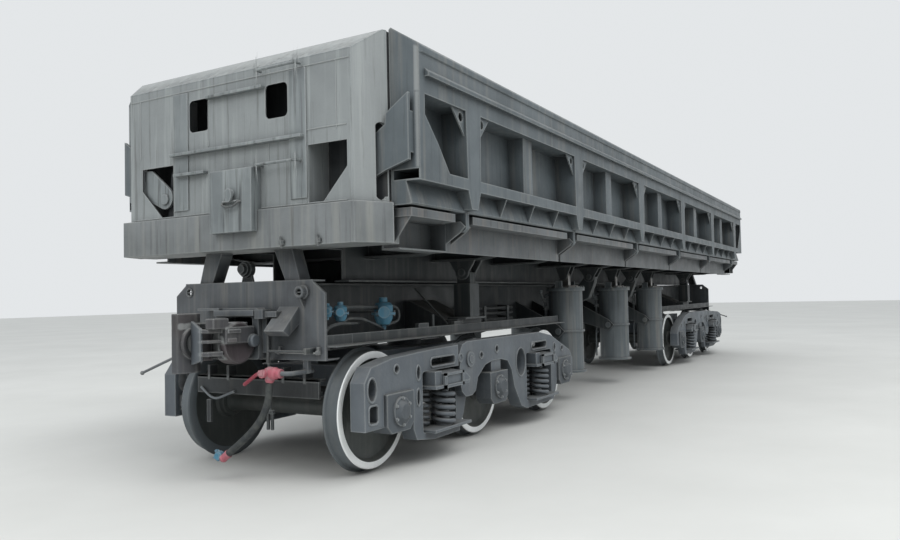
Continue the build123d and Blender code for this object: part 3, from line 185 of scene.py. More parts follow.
def enamel(name, colour, worn, streak, dust, grain, rough=0.5, edge=0.3, corner=0.55, reach=0.14,
           dust_colour="92908a", streak_colour="85837d"):
    """Brushed alkyd enamel on steel: a soft sheen, uneven tone in patches, rain runs down what is upright,
    grime and painted shade in the corners and recesses, thin pale edges, dust on what faces up, and the low
    dents and brush marks of a thick coat."""
    material, tree, shader, coords = finish_material(name)
    laid_over(tree, shader, colour, [
        (mottling(tree, coords, 600, 0.35, 0.68), worn),
        (mottling(tree, coords, 70, 0.5, 0.66, 0.0, streak, (1, 1, 0.04)), streak_colour),
        (mottling(tree, coords, 46, 0.55, 0.68, 0.0, streak * 0.9, (1, 1, 0.05)), "2d2f30"),
        # Grime and painted shade, near black, in corners and recesses
        (grime_and_painted_shade(tree, reach, corner), "202325"),
        (settled_dust(tree, coords, dust), dust_colour),
        (rubbed_edges(tree, edge), "a3a6a5"),
    ])
    sheen = mottling(tree, coords, 200, 0.3, 0.7, rough - 0.08, rough + 0.14)
    tree.links.new(sheen, shader.inputs["Roughness"])
    # Dents and brush marks are 20 to 60 mm across: finer ones don't show at this distance.
    dented(tree, shader, coords, 36, grain, 0.004)
    return material


def bare_steel(name, colour, worn, rough=0.4, grain=0.15):
    """Turned or ground steel under old oil: a dull metallic sheen, browner where the oil has dried."""
    material, tree, shader, coords = finish_material(name, rough, 0.85)
    laid_over(tree, shader, colour, [(mottling(tree, coords, 170, 0.35, 0.7), worn)])
    tree.links.new(mottling(tree, coords, 70, 0.3, 0.7, rough - 0.1, rough + 0.2), shader.inputs["Roughness"])
    dented(tree, shader, coords, 33, grain, 0.003)
    return material


def vulcanised_rubber(name, colour, worn):
    """Fabric-ply hose rubber: matt and dark, with pale dust rubbed into the weave of its cover."""
    material, tree, shader, coords = finish_material(name, 0.75)
    laid_over(tree, shader, colour, [(mottling(tree, coords, 55, 0.4, 0.7), worn)])
    # The cloth's weave is 1 mm; it is drawn 4 mm wide so that it shows.
    dented(tree, shader, coords, 4, 0.3, 0.001)
    return material


# Each enamel: its name, ground and worn colour, how strong its streaks, dust and grain are, and what differs;
# corner and reach set how dark and how deep the grime and painted shade in its recesses go
end_enamel = enamel("grey_enamel_end_wall", "848a8b", "6d7375", 0.8, 0.5, 0.3, edge=0.5,
    streak_colour="959b9b")
# The side boards' grey is laid on darker than the end wall's: painted shade for boards that face away from
# the main light; its reach paints shade into the boards' recesses
shaded_side_enamel = enamel("grey_enamel_side_board_shaded", "5f676b", "4f575b", 0.35, 0.5, 0.3, edge=0.45, corner=0.8,
    reach=0.28)
edge_enamel = enamel("grey_enamel_floor_edge", "666b6d", "53575a", 0.55, 0.6, 0.4, corner=0.9, reach=0.22,
    streak_colour="77706a")
# The underframe's grey is laid on darker than the body's same paint: painted shade for the body's shadow over
# it; its long reach paints shade deep into its recesses
shaded_frame_enamel = enamel("grey_enamel_underframe_painted_shade", "393e40", "2f3436", 0.25, 0.5, 0.3, corner=0.95, reach=0.7)
casting_enamel = enamel("grey_enamel_on_cast_steel", "60676d", "50565c", 0.12, 0.35, 0.6, edge=0.45,
    corner=0.85, reach=0.2)
box_enamel = enamel("dusty_enamel_on_axle_box", "50565b", "43484c", 0.1, 0.4, 0.6, rough=0.6, edge=0.6,
    corner=0.9, reach=0.2)
band_enamel = enamel("grey_enamel_end_band", "7d8182", "676b6c", 0.5, 0.6, 0.35, edge=0.6,
    streak_colour="8e8f8a")
cylinder_enamel = enamel("grey_enamel_cylinder", "61686b", "50575b", 0.4, 0.4, 0.2, corner=0.8, reach=0.2)
beam_enamel = enamel("grey_enamel_end_beam", "5c6165", "47494c", 0.35, 0.5, 0.3, corner=0.8, reach=0.22)
wheel_enamel = enamel("dusty_dark_enamel_wheel_disc", "424746", "383b39", 0.1, 0.3, 0.4, edge=0.1)
rim_enamel = enamel("grey_enamel_wheel_tread", "5d6468", "4d5356", 0.1, 0.3, 0.25)
white_enamel = enamel("white_enamel_wheel_ring", "f3f5f4", "e4e7e6", 0.05, 0.1, 0.2, rough=0.55, edge=0.0,
    corner=0.15)
coupler_enamel = enamel("dusty_enamel_on_coupler_casting", "4b4e52", "403d3e", 0.2, 0.4, 0.6, rough=0.6,
    edge=0.5, corner=0.9, reach=0.2)
dark_casting = enamel("oily_dark_coupler_housing", "4b4447", "3b3537", 0.1, 0.3, 0.5, corner=0.6)
brake_enamel = enamel("dusty_cast_iron_brake_shoe", "35383a", "2c2e2f", 0.1, 0.4, 0.6, rough=0.7, corner=0.95,
    reach=0.5)
red_enamel = enamel("faded_red_enamel_cock", "b3606c", "a0606a", 0.15, 0.2, 0.4, rough=0.45,
    dust_colour="b59a98", streak_colour="c58488")
dark_red_enamel = enamel("dark_red_enamel_handle", "8e2438", "7c2a3a", 0.1, 0.2, 0.3, rough=0.45,
    dust_colour="a07880", streak_colour="a05060")
blue_enamel = enamel("faded_blue_enamel_valve", "457f99", "386a80", 0.2, 0.25, 0.4, rough=0.45)
pale_rod = enamel("pale_worn_steel_rod", "a7a9a6", "8d8f8c", 0.1, 0.2, 0.2, rough=0.45)
worn_plate = enamel("scuffed_steel_load_floor", "615c55", "4b443d", 0.4, 0.4, 0.7, rough=0.6,
    streak_colour="7a6552")
# Near-black paint on what lies inside the hollow wall and on the bars at its joints: painted shade
near_black_shade_paint = enamel("dark_undercoat_inside_wall", "1f2326", "282b2d", 0.1, 0.2, 0.25, rough=0.65, edge=0.0,
    corner=0.7)
ground_steel = bare_steel("ground_steel_ram", "8a8a88", "6f6b66", rough=0.3, grain=0.05)
pin_steel = bare_steel("turned_steel_pin", "6f6d6a", "5a544e")
hose_rubber = vulcanised_rubber("vulcanised_rubber_hose", "303436", "4d504d")


# Shapes

def settle(obj, body, slot, *replaced):
    """Puts a finished piece on its body and hides the CAD nodes that it stands for; slot is not used."""
    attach(obj, body)
    if replaced:
        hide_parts(*replaced)
    return obj


def evaluated(obj):
    """The object's mesh with its modifiers applied, in its place; the modifiers go."""
    graph = bpy.context.evaluated_depsgraph_get()
    posed = obj.evaluated_get(graph)
    mesh = bpy.data.meshes.new_from_object(posed, preserve_all_data_layers=True, depsgraph=graph)
    obj.modifiers.clear()
    obj.data = mesh
    return obj


# Square metres of folded-over face that a broken edge may leave
FOLD_LIMIT = 2e-4


def folded(mesh):
    """Area in square metres of triangles that look the other way than their face."""
    mesh.calc_loop_triangles()
    faces = mesh.polygons
    return sum(t.area for t in mesh.loop_triangles if t.normal.dot(faces[t.polygon_index].normal) < 0)


def true_shading(mesh):
    """Where a broken edge leaves a flat face shaded as if it looked elsewhere, its own direction is used."""
    shading = [Vector(corner.vector) for corner in mesh.corner_normals]
    for polygon in mesh.polygons:
        for k in polygon.loop_indices:
            if len(polygon.vertices) > 4 or shading[k].dot(polygon.normal) < 0.8:
                shading[k] = Vector(polygon.normal)
    mesh.normals_split_custom_set(shading)


def soften(obj, width, corner=32):
    """Breaks the sharp edges as a file or a casting's fillet does, less where a face would fold over."""
    for polygon in obj.data.polygons:
        polygon.use_smooth = True
    whole = obj.data
    for share in (1.0, 0.6, 0.3, 0.1):
        obj.data = whole
        edge = obj.modifiers.new("broken_edges", "BEVEL")
        edge.width = width * share
        edge.segments = 2
        edge.limit_method = "ANGLE"
        edge.angle_limit = radians(corner)
        edge.use_clamp_overlap = False
        edge.harden_normals = True
        evaluated(obj)
        if folded(obj.data) < FOLD_LIMIT:
            break
    true_shading(obj.data)
    return obj


def dressed(node, body, slot, material, width, finish_of=None, cut=None):
    """The CAD piece again with broken edges and its finish; finish_of picks it by face, cut is taken away."""
    mesh = nodes[node].data.copy()
    shape = bmesh.new()
    shape.from_mesh(mesh)
    bmesh.ops.remove_doubles(shape, verts=shape.verts, dist=2e-5)
    bmesh.ops.dissolve_limit(shape, angle_limit=radians(0.5), verts=shape.verts, edges=shape.edges)
    paints = [material]
    for face in shape.faces:
        paint = finish_of(face.calc_center_median(), face.normal) if finish_of else material
        if paint not in paints:
            paints.append(paint)
        face.material_index = paints.index(paint)
    # The slots are cleared first: clearing them later would send every face back to the first finish.
    mesh.materials.clear()
    for paint in paints:
        mesh.materials.append(paint)
    shape.to_mesh(mesh)
    shape.free()
    obj = put_in(f"{node}_finished", mesh)
    if cut:
        carving = obj.modifiers.new("cut_away", "BOOLEAN")
        carving.operation = "DIFFERENCE"
        carving.object = cut
        evaluated(obj)
        bpy.data.objects.remove(cut)
    soften(obj, width)
    return settle(obj, body, slot, node)


def around(a, b, half_a, half_b, count, first=0.0, step=None):
    """Points on an oval in a plane, from its middle and half sizes; first and step are angles in degrees."""
    turns = [radians(first + k * (step or 360 / count)) for k in range(count)]
    return [(a + half_a * cos(t), b + half_b * sin(t)) for t in turns]


def both_sides(x, y, z):
    """The same box on the near and on the far side."""
    return [(x, (side * y[0], side * y[1]), z) for side in (-1, 1)]


class Shape:
    """A mesh built up from simple forms at the front and near side, and moved by place; a form takes the
    shape's paint unless it names a material."""

    def __init__(self, name, paint, place=None):
        self.name, self.paint, self.place = name, paint, place
        self.mesh = bmesh.new()
        self.materials = []

    def face(self, corners, material):
        material = material or self.paint
        if material not in self.materials:
            self.materials.append(material)
        made = self.mesh.faces.new(corners)
        made.material_index = self.materials.index(material)
        made.smooth = True

    def between(self, first, last, material=None):
        """A solid between two outlines that have the same number of corners."""
        n = len(first)
        made = [self.mesh.verts.new(p) for p in first + last]
        self.face(made[:n], material)
        self.face(made[n:], material)
        for k in range(n):
            j = (k + 1) % n
            self.face([made[k], made[j], made[n + j], made[n + k]], material)

    def prism(self, outline, axis, low, high, material=None):
        """An outline pushed along an axis: (y, z) along x, (x, z) along y, or (x, y) along z."""
        k = "xyz".index(axis)
        self.between(*[[(*point[:k], t, *point[k:]) for point in outline] for t in (low, high)], material)

    def box(self, x, y, z, material=None):
        made = [self.mesh.verts.new((a, b, c)) for c in sorted(z) for b in sorted(y) for a in sorted(x)]
        for corners in ((0, 2, 3, 1), (4, 5, 7, 6), (0, 1, 5, 4), (2, 6, 7, 3), (0, 4, 6, 2), (1, 3, 7, 5)):
            self.face([made[k] for k in corners], material)

    def boxes(self, sizes, material=None):
        for size in sizes:
            self.box(*size, material)

    def lathe(self, profile, centre, axis, steps=24, materials=None, closed=True):
        """A profile of (along, radius) turned about an axis; materials is one, or one for each stretch."""
        if closed:
            profile = [(profile[0][0], 0), *profile, (profile[-1][0], 0)]
        ahead = Vector(axis).normalized()
        side = ahead.orthogonal().normalized()
        other = ahead.cross(side)
        spokes = [side * a + other * b for a, b in around(0, 0, 1, 1, steps)]
        rings = []
        for along, radius in profile:
            middle = Vector(centre) + ahead * along
            ring = [middle + spoke * radius for spoke in spokes] if radius else [middle]
            rings.append([self.mesh.verts.new(p) for p in ring])
        for n, (a, b) in enumerate(zip(rings, rings[1:])):
            material = materials[n] if isinstance(materials, list) else materials
            for k in range(steps):
                j = (k + 1) % steps
                corners = [a[k % len(a)], a[j % len(a)], b[j % len(b)], b[k % len(b)]]
                unique = list(dict.fromkeys(corners))
                if len(unique) > 2:
                    self.face(unique, material)

    def rod(self, start, end, radius, material=None, steps=16):
        start = Vector(start)
        span = Vector(end) - start
        self.lathe([(0, radius), (span.length, radius)], start, span, steps, material)

    def tube(self, points, radius, material=None, steps=10, closed=False):
        """A bent bar or pipe along points, with round bends between them."""
        corners = [Vector(p) for p in points]
        path = []
        for n, corner in enumerate(corners):
            if not closed and n in (0, len(corners) - 1):
                path.append(corner)
                continue
            back = corners[n - 1] - corner
            on = corners[(n + 1) % len(corners)] - corner
            reach = min(back.length, on.length) * 0.45
            a, b = corner + back.normalized() * reach, corner + on.normalized() * reach
            path += [a.lerp(corner, t).lerp(corner.lerp(b, t), t) for t in (0.0, 0.25, 0.5, 0.75, 1.0)]
        rings, side = [], None
        count = len(path)
        for n, middle in enumerate(path):
            before = path[n - 1] if closed or n else middle
            after = path[(n + 1) % count] if closed or n < count - 1 else middle
            ahead = (after - before).normalized()
            side = (side - ahead * side.dot(ahead)).normalized() if side else ahead.orthogonal().normalized()
            other = ahead.cross(side)
            spokes = [(side * a + other * b) * radius for a, b in around(0, 0, 1, 1, steps)]
            rings.append([self.mesh.verts.new(middle + spoke) for spoke in spokes])
        for a, b in list(zip(rings, rings[1:])) + ([(rings[-1], rings[0])] if closed else []):
            for k in range(steps):
                j = (k + 1) % steps
                self.face((a[k], a[j], b[j], b[k]), material)
        if not closed:
            self.face(rings[0], material)
            self.face(rings[-1], material)

    def made(self, width=0.0, corner=32):
        """The finished object with its faces outwards, and its edges broken when a width is given."""
        if self.place:
            self.mesh.transform(self.place)
        bmesh.ops.recalc_face_normals(self.mesh, faces=self.mesh.faces)
        mesh = bpy.data.meshes.new(self.name)
        self.mesh.to_mesh(mesh)
        self.mesh.free()
        for material in self.materials:
            mesh.materials.append(material)
        obj = put_in(self.name, mesh)
        if width:
            return soften(obj, width, corner)
        mesh.set_sharp_from_angle(angle=radians(corner))
        return obj


# Repeats, grown on seed points

def grow(name, seeds, tree, finish, sizes, directions=None):
    """Runs a geometry node tree on seed points and returns the plain mesh that it makes."""
    mesh = bpy.data.meshes.new(name)
    mesh.from_pydata([Vector(s) for s in seeds], [], [])
    if directions:
        aim = mesh.attributes.new("direction", "FLOAT_VECTOR", "POINT")
        for item, direction in zip(aim.data, directions):
            item.vector = direction
    obj = put_in(name, mesh)
    modifier = obj.modifiers.new(name, "NODES")
    modifier.node_group = tree
    sockets = {s.name: s.identifier for s in tree.interface.items_tree if s.in_out == "INPUT"}
    for key, value in {**sizes, "Finish": finish}.items():
        modifier[sockets[key]] = value
    evaluated(obj)
    obj.data.materials.clear()
    obj.data.materials.append(finish)
    return obj


def new_tree(name, *sizes):
    """A geometry node tree that is given seed points, sizes and a finish, and its two end nodes."""
    tree = bpy.data.node_groups.new(name, "GeometryNodeTree")
    tree.interface.new_socket("Geometry", in_out="INPUT", socket_type="NodeSocketGeometry")
    tree.interface.new_socket("Geometry", in_out="OUTPUT", socket_type="NodeSocketGeometry")
    for title in sizes:
        tree.interface.new_socket(title, in_out="INPUT", socket_type="NodeSocketFloat")
    tree.interface.new_socket("Finish", in_out="INPUT", socket_type="NodeSocketMaterial")
    return tree, add_node(tree, "NodeGroupInput"), add_node(tree, "NodeGroupOutput")


def planted(tree, given, result, instance, smooth, **turn):
    """Ends a tree: one copy of the instance at each seed point, made real and given its finish."""
    made = add_node(tree, "GeometryNodeInstanceOnPoints", {
        "Points": given.outputs["Geometry"], "Instance": instance.outputs[0], **turn})
    made = add_node(tree, "GeometryNodeRealizeInstances", {"Geometry": made.outputs[0]})
    if smooth:
        made = add_node(tree, "GeometryNodeSetShadeSmooth", {"Geometry": made.outputs[0]})
    made = add_node(tree, "GeometryNodeSetMaterial", {
        "Geometry": made.outputs[0], "Material": given.outputs["Finish"]})
    tree.links.new(made.outputs[0], result.inputs[0])
    return tree


def coil_spring_tree():
    """Springs: a round wire wound about each seed point."""
    tree, given, result = new_tree("coil_springs", "Radius", "Wire", "Height", "Turns")
    spiral = add_node(tree, "GeometryNodeCurveSpiral", {
        "Resolution": 28, "Rotations": given.outputs["Turns"], "Start Radius": given.outputs["Radius"],
        "End Radius": given.outputs["Radius"], "Height": given.outputs["Height"]})
    wire = add_node(tree, "GeometryNodeCurvePrimitiveCircle", {
        "Resolution": 10, "Radius": given.outputs["Wire"]})
    coil = add_node(tree, "GeometryNodeCurveToMesh", {
        "Curve": spiral.outputs[0], "Profile Curve": wire.outputs[0], "Fill Caps": True})
    return planted(tree, given, result, coil, True)


def bolt_tree():
    """Bolts: a hexagon head on a round washer at each seed point, turned to face its direction."""
    tree, given, result = new_tree("bolt_heads", "Across", "Tall")
    half, wide, thin = [
        add_node(tree, "ShaderNodeMath", {0: given.outputs[size], 1: share}, operation="MULTIPLY").outputs[0]
        for size, share in (("Across", 0.5), ("Across", 0.72), ("Tall", 0.5))]
    head = add_node(tree, "GeometryNodeMeshCylinder", {
        "Vertices": 6, "Radius": half, "Depth": given.outputs["Tall"]})
    washer = add_node(tree, "GeometryNodeMeshCylinder", {"Vertices": 14, "Radius": wide, "Depth": thin})
    rise = add_node(tree, "ShaderNodeCombineXYZ", {"Z": thin}).outputs[0]
    lifted = add_node(tree, "GeometryNodeTransform", {"Geometry": head.outputs[0], "Translation": rise})
    both = add_node(tree, "GeometryNodeJoinGeometry")
    tree.links.new(lifted.outputs[0], both.inputs[0])
    tree.links.new(washer.outputs[0], both.inputs[0])
    aim = add_node(tree, "GeometryNodeInputNamedAttribute", {"Name": "direction"}, data_type="FLOAT_VECTOR")
    turn = add_node(tree, "FunctionNodeAlignRotationToVector", {"Vector": aim.outputs[0]}, axis="Z")
    return planted(tree, given, result, both, False, Rotation=turn.outputs[0])


springs_tree = coil_spring_tree()
bolts_tree = bolt_tree()


# Running gear

def wheelset(number, x):
    """Two wheels on their axle, with the white ring on the rims' outer faces."""
    shape = Shape(f"wheelset_{number}_turned", wheel_enamel)
    ring_face, ring_bore = 0.841, 0.405
    profile = [
        (0.0, 0.08), (0.55, 0.08), (0.66, 0.086), (0.69, 0.094), (0.695, 0.128), (0.7, 0.133),
        (0.742, 0.137), (0.76, 0.16), (0.762, 0.25), (0.745, 0.36), (0.728, 0.398), (0.722, 0.41),
        (0.72, 0.418), (0.72, 0.482), (0.724, 0.492), (0.732, 0.498), (0.741, 0.497), (0.747, 0.488),
        (0.752, 0.476), (0.762, 0.472), (0.842, 0.4665), (0.85, 0.46), (0.8505, 0.412), (0.846, 0.404),
        (0.822, 0.396), (0.808, 0.385), (0.806, 0.3), (0.815, 0.2), (0.835, 0.15), (0.88, 0.134),
        (0.885, 0.128), (0.8852, 0.096), (0.925, 0.094), (0.935, 0.066), (1.096, 0.065), (1.1, 0.06),
        (1.1, 0.0),
    ]
    paints = []
    for (along, radius), (_, radius_after) in zip(profile, profile[1:]):
        outer = min(radius, radius_after) > ring_bore
        paints.append(wheel_enamel if not outer else white_enamel if along > ring_face else rim_enamel)
    for side in (-1, 1):
        shape.lathe(profile, (x, 0, AXLE_Z), (0, side, 0), 96, paints, closed=False)
    bmesh.ops.remove_doubles(shape.mesh, verts=shape.mesh.verts, dist=1e-6)
    settle(shape.made(), f"wheelset_body_{number}", "wheel_steel", f"wheelset_{number}")


def spring_nests(end, middle):
    """Coil springs between their seats and the bolsters, with the seat plates."""
    outer, inner, seats = [], [], Shape(f"spring_seats_{end}_cast", casting_enamel)
    seat_low, seat_top = 0.263, 0.287
    outer_y, inner_y, spread = 1.08, 0.945, 0.165
    for x in (middle - SPRING_X, middle + SPRING_X):
        seats.boxes(both_sides((x - 0.31, x + 0.31), (0.862, 1.188), (seat_low, seat_top)))
        for side in (-1, 1):
            outer.append((x, side * outer_y, seat_top + 0.021))
            inner += [(x + k * spread, side * inner_y, seat_top + 0.017) for k in (-1, 1)]
            for along, y, radius in ((0, outer_y, 0.082), (-spread, inner_y, 0.064),
                                     (spread, inner_y, 0.064)):
                seats.lathe([(0, radius), (0.028, radius)], (x + along, side * y, seat_top), (0, 0, 1), 20)
    settle(seats.made(0.003), f"bogie_{end}", "spring_steel", f"springs_{end}")
    big = {"Radius": 0.087, "Wire": 0.021, "Height": 0.289, "Turns": 5.0}
    small = {"Radius": 0.069, "Wire": 0.017, "Height": 0.297, "Turns": 6.0}
    for name, seeds, sizes in (("outer", outer, big), ("inner", inner, small)):
        coils = grow(f"springs_{name}_{end}_wound", seeds, springs_tree, casting_enamel, sizes)
        settle(coils, f"bogie_{end}", "spring_steel")


# The open window and box in the nose of each outer casting: x and z of the middle, width and height
NOSE_WINDOW = (-2.1, 0.672, 0.104, 0.172)
NOSE_BOX = (-2.085, 0.485, 0.104, 0.124)
# Openings of the side castings that have a raised rim: x and z of the middle from the bogie's middle and the
# rail head, width and height
RIMMED_OUTER = [NOSE_WINDOW, (-1.769, 0.8, 0.056, 0.056), (-1.45, 0.74, 0.052, 0.11),
                (-1.455, 0.54, 0.042, 0.13), (-0.735, 0.806, 0.056, 0.056)]
RIMMED_INNER = [(0.56, 0.66, 0.22, 0.29), (-0.33, 0.8, 0.052, 0.052), (0.0, 0.835, 0.06, 0.06),
                (1.49, 0.756, 0.052, 0.08), (1.72, 0.73, 0.052, 0.052)]
# The slot over each spring window: z of its middle, width and height
SLOT = (0.806, 0.4, 0.062)


def casting_details(end):
    """Raised rims round the castings' openings, friction wedges by the bolsters, and pins in the knuckles."""
    shape = Shape(f"casting_rims_{end}", casting_enamel, ENDS[end])
    middle = BOGIES[0]
    bead = 0.009
    for side in (-1, 1):
        face = side * CASTING_FACE
        for x, z, width, height in RIMMED_OUTER + RIMMED_INNER:
            ring = around(middle + x, RAIL + z, width / 2 + bead, height / 2 + bead, 12)
            shape.tube([(a, face, b) for a, b in ring], bead, steps=6, closed=True)
        for spring_x in (middle - SPRING_X, middle + SPRING_X):
            friction_wedges(shape, spring_x, side)
        # The lower front box of the outer casting and the slotted opening over each spring window
        for x, z, width, height in [NOSE_BOX, (-SPRING_X, *SLOT), (SPRING_X, *SLOT)]:
            half, tall, corner = width / 2 + bead, height / 2 + bead, 0.02
            ring = [(half, -tall + corner), (half, tall - corner), (half - corner, tall),
                    (corner - half, tall), (-half, tall - corner), (-half, corner - tall),
                    (corner - half, -tall), (half - corner, -tall)]
            shape.tube([(middle + x + a, face, RAIL + z + b) for a, b in ring], bead, steps=6, closed=True)
        # Knuckle pin with its collar
        shape.lathe([(0, 0.062), (0.012, 0.06), (0.012, 0.04), (0.026, 0.036)],
                    (middle - 0.56, face, RAIL + 0.78), (0, side, 0))
    settle(shape.made(), f"bogie_{end}", "bogie_casting")


def friction_wedges(shape, x, side):
    """Cast wedges that rub the window's columns beside a bolster's end, and the rim of the open end."""
    low, high = 0.646, 0.736
    inner, outer = side * 0.955, side * 1.188
    body, reach = 0.165, 0.3
    shape.prism([(x + body, low), (x + body, high), (x + body + 0.03, high), (x + reach, low + 0.022),
                 (x + reach, low)], "y", inner, outer)
    shape.prism([(x - body, low), (x - body, high + 0.03), (x - reach + 0.03, high + 0.03),
                 (x - reach + 0.03, low)], "y", inner, outer - side * 0.02)
    rim = (side * 1.185, side * 1.204)
    upright = [(x - body, x - body + 0.035), (x + body - 0.03, x + body)]
    shape.boxes([(across, rim, (0.618, 0.743)) for across in upright])
    shape.boxes([((x - body, x + body), rim, up) for up in ((0.618, 0.645), (0.722, 0.743))])


def cover_bolts(end, middle):
    """Bolts round the axle boxes' covers."""
    seeds, facing = [], []
    for step in AXLE_STEPS:
        for side in (-1, 1):
            ring = around(middle + step, AXLE_Z, 0.103, 0.103, 6, 30)
            seeds += [(x, side * (COVER_FACE + 0.002), z) for x, z in ring]
            facing += [(0, side, 0)] * len(ring)
    sizes = {"Across": 0.022, "Tall": 0.014}
    bolts = grow(f"cover_bolts_{end}", seeds, bolts_tree, casting_enamel, sizes, facing)
    settle(bolts, f"bogie_{end}", "box_casting")


for number in range(6):
    wheelset(number + 1, BOGIES[number // 3] + AXLE_STEPS[number % 3])
for end, middle in zip(ENDS, BOGIES):
    spring_nests(end, middle)
    casting_details(end)
    cover_bolts(end, middle)


# Couplers and end beams

def coupler(end):
    """Automatic coupler with a rigid jaw: tall tooth, ribbed small tooth, lock and dished lifter housing."""
    shape = Shape(f"coupler_{end}_cast", coupler_enamel, ENDS[end])
    back, collar = -7.17, -7.205
    # Back of the head, the visor over its throat and the tall tooth, in plan
    shape.prism([(back, -0.12), (-7.4, -0.16), (-7.45, -0.12), (-7.42, -0.03), (-7.38, 0.03), (-7.41, 0.12),
                 (-7.45, 0.17), (-7.36, 0.235), (back, 0.13)], "z", 0.958, 1.19)
    shape.prism([(back, -0.12), (-7.33, -0.17), (-7.49, -0.13), (-7.43, -0.02), (-7.42, 0.1), (-7.57, 0.15),
                 (-7.57, 0.235), (-7.37, 0.24), (back, 0.14)], "z", 1.186, 1.228)
    shape.prism([(-7.37, 0.15), (-7.43, 0.12), (-7.54, 0.132), (-7.583, 0.16), (-7.587, 0.205),
                 (-7.575, 0.236), (-7.37, 0.244)], "z", 0.853, 1.303)
    # Round pocket in the tall tooth, and the lock in the throat
    shape.lathe([(0, 0.118), (0.016, 0.126), (0.034, 0.118), (0.036, 0.09), (0.026, 0.08)],
                (-7.452, 0.145, 1.078), (0, -1, 0), 40)
    shape.prism([(-7.38, 0.0), (-7.44, 0.01), (-7.478, 0.04), (-7.478, 0.072), (-7.44, 0.1),
                 (-7.38, 0.105)], "z", 0.945, 1.168, dark_casting)
    # Small tooth: a flared plate on ribs, open between them
    near_x, far_x, depth = -7.585, -7.5, 0.03
    flare = [(far_x, 0.112, 1.246), (near_x, -0.08, 1.19), (near_x, -0.08, 0.955), (far_x, 0.112, 0.915)]
    shape.between(flare, [(x + depth, y, z) for x, y, z in flare], casting_enamel)
    for low, high in ((1.156, 1.186), (1.082, 1.106), (0.985, 1.02)):
        shape.prism([(near_x + 0.01, -0.08), (-7.555, -0.135), (-7.44, -0.166), (-7.4, -0.1), (-7.44, -0.05),
                     (-7.55, -0.03)], "z", low, high)
    # Lifter housing with its dished cover
    middle_z = 1.072
    shape.lathe([(0, 0), (0, 0.16), (0.098, 0.162), (0.118, 0.156), (0.122, 0.144), (0.112, 0.12),
                 (0.104, 0.06), (0.102, 0)], (-7.285, -0.06, middle_z), (0, -1, 0), 48, dark_casting,
                closed=False)
    # Lugs over the small tooth; the head's flat flank over the housing with its stiffeners; collar and shank
    shape.boxes([((-7.56, -7.41), (-0.196, -0.11), (1.186, 1.264)),
                 ((-7.41, -7.25), (-0.172, -0.1), (1.15, 1.186)),
                 ((-7.445, -7.15), (-0.2, -0.06), (middle_z, 1.196)),
                 ((-7.43, -7.3), (-0.212, -0.195), (1.15, 1.18)),
                 ((collar, -7.15), (-0.13, 0.13), (0.93, 1.225)),
                 ((back, -6.39), (-0.085, 0.085), (COUPLER_Z - 0.075, COUPLER_Z + 0.075))])
    shape.box((-7.43, -7.34), (-0.21, -0.195), (middle_z + 0.01, 1.115), dark_casting)
    # End of the lifter's shaft, and the shank's eye
    shape.lathe([(0, 0.05), (0.036, 0.05), (0.046, 0.04)], (-7.172, -0.19, 1.085), (0, -1, 0), 24,
                casting_enamel)
    shape.lathe([(0, 0.06), (0.15, 0.06)], (-6.48, 0, COUPLER_Z - 0.075), (0, 0, 1))
    settle(shape.made(0.007), f"coupler_body_{end}", "coupler_casting", f"coupler_{end}")


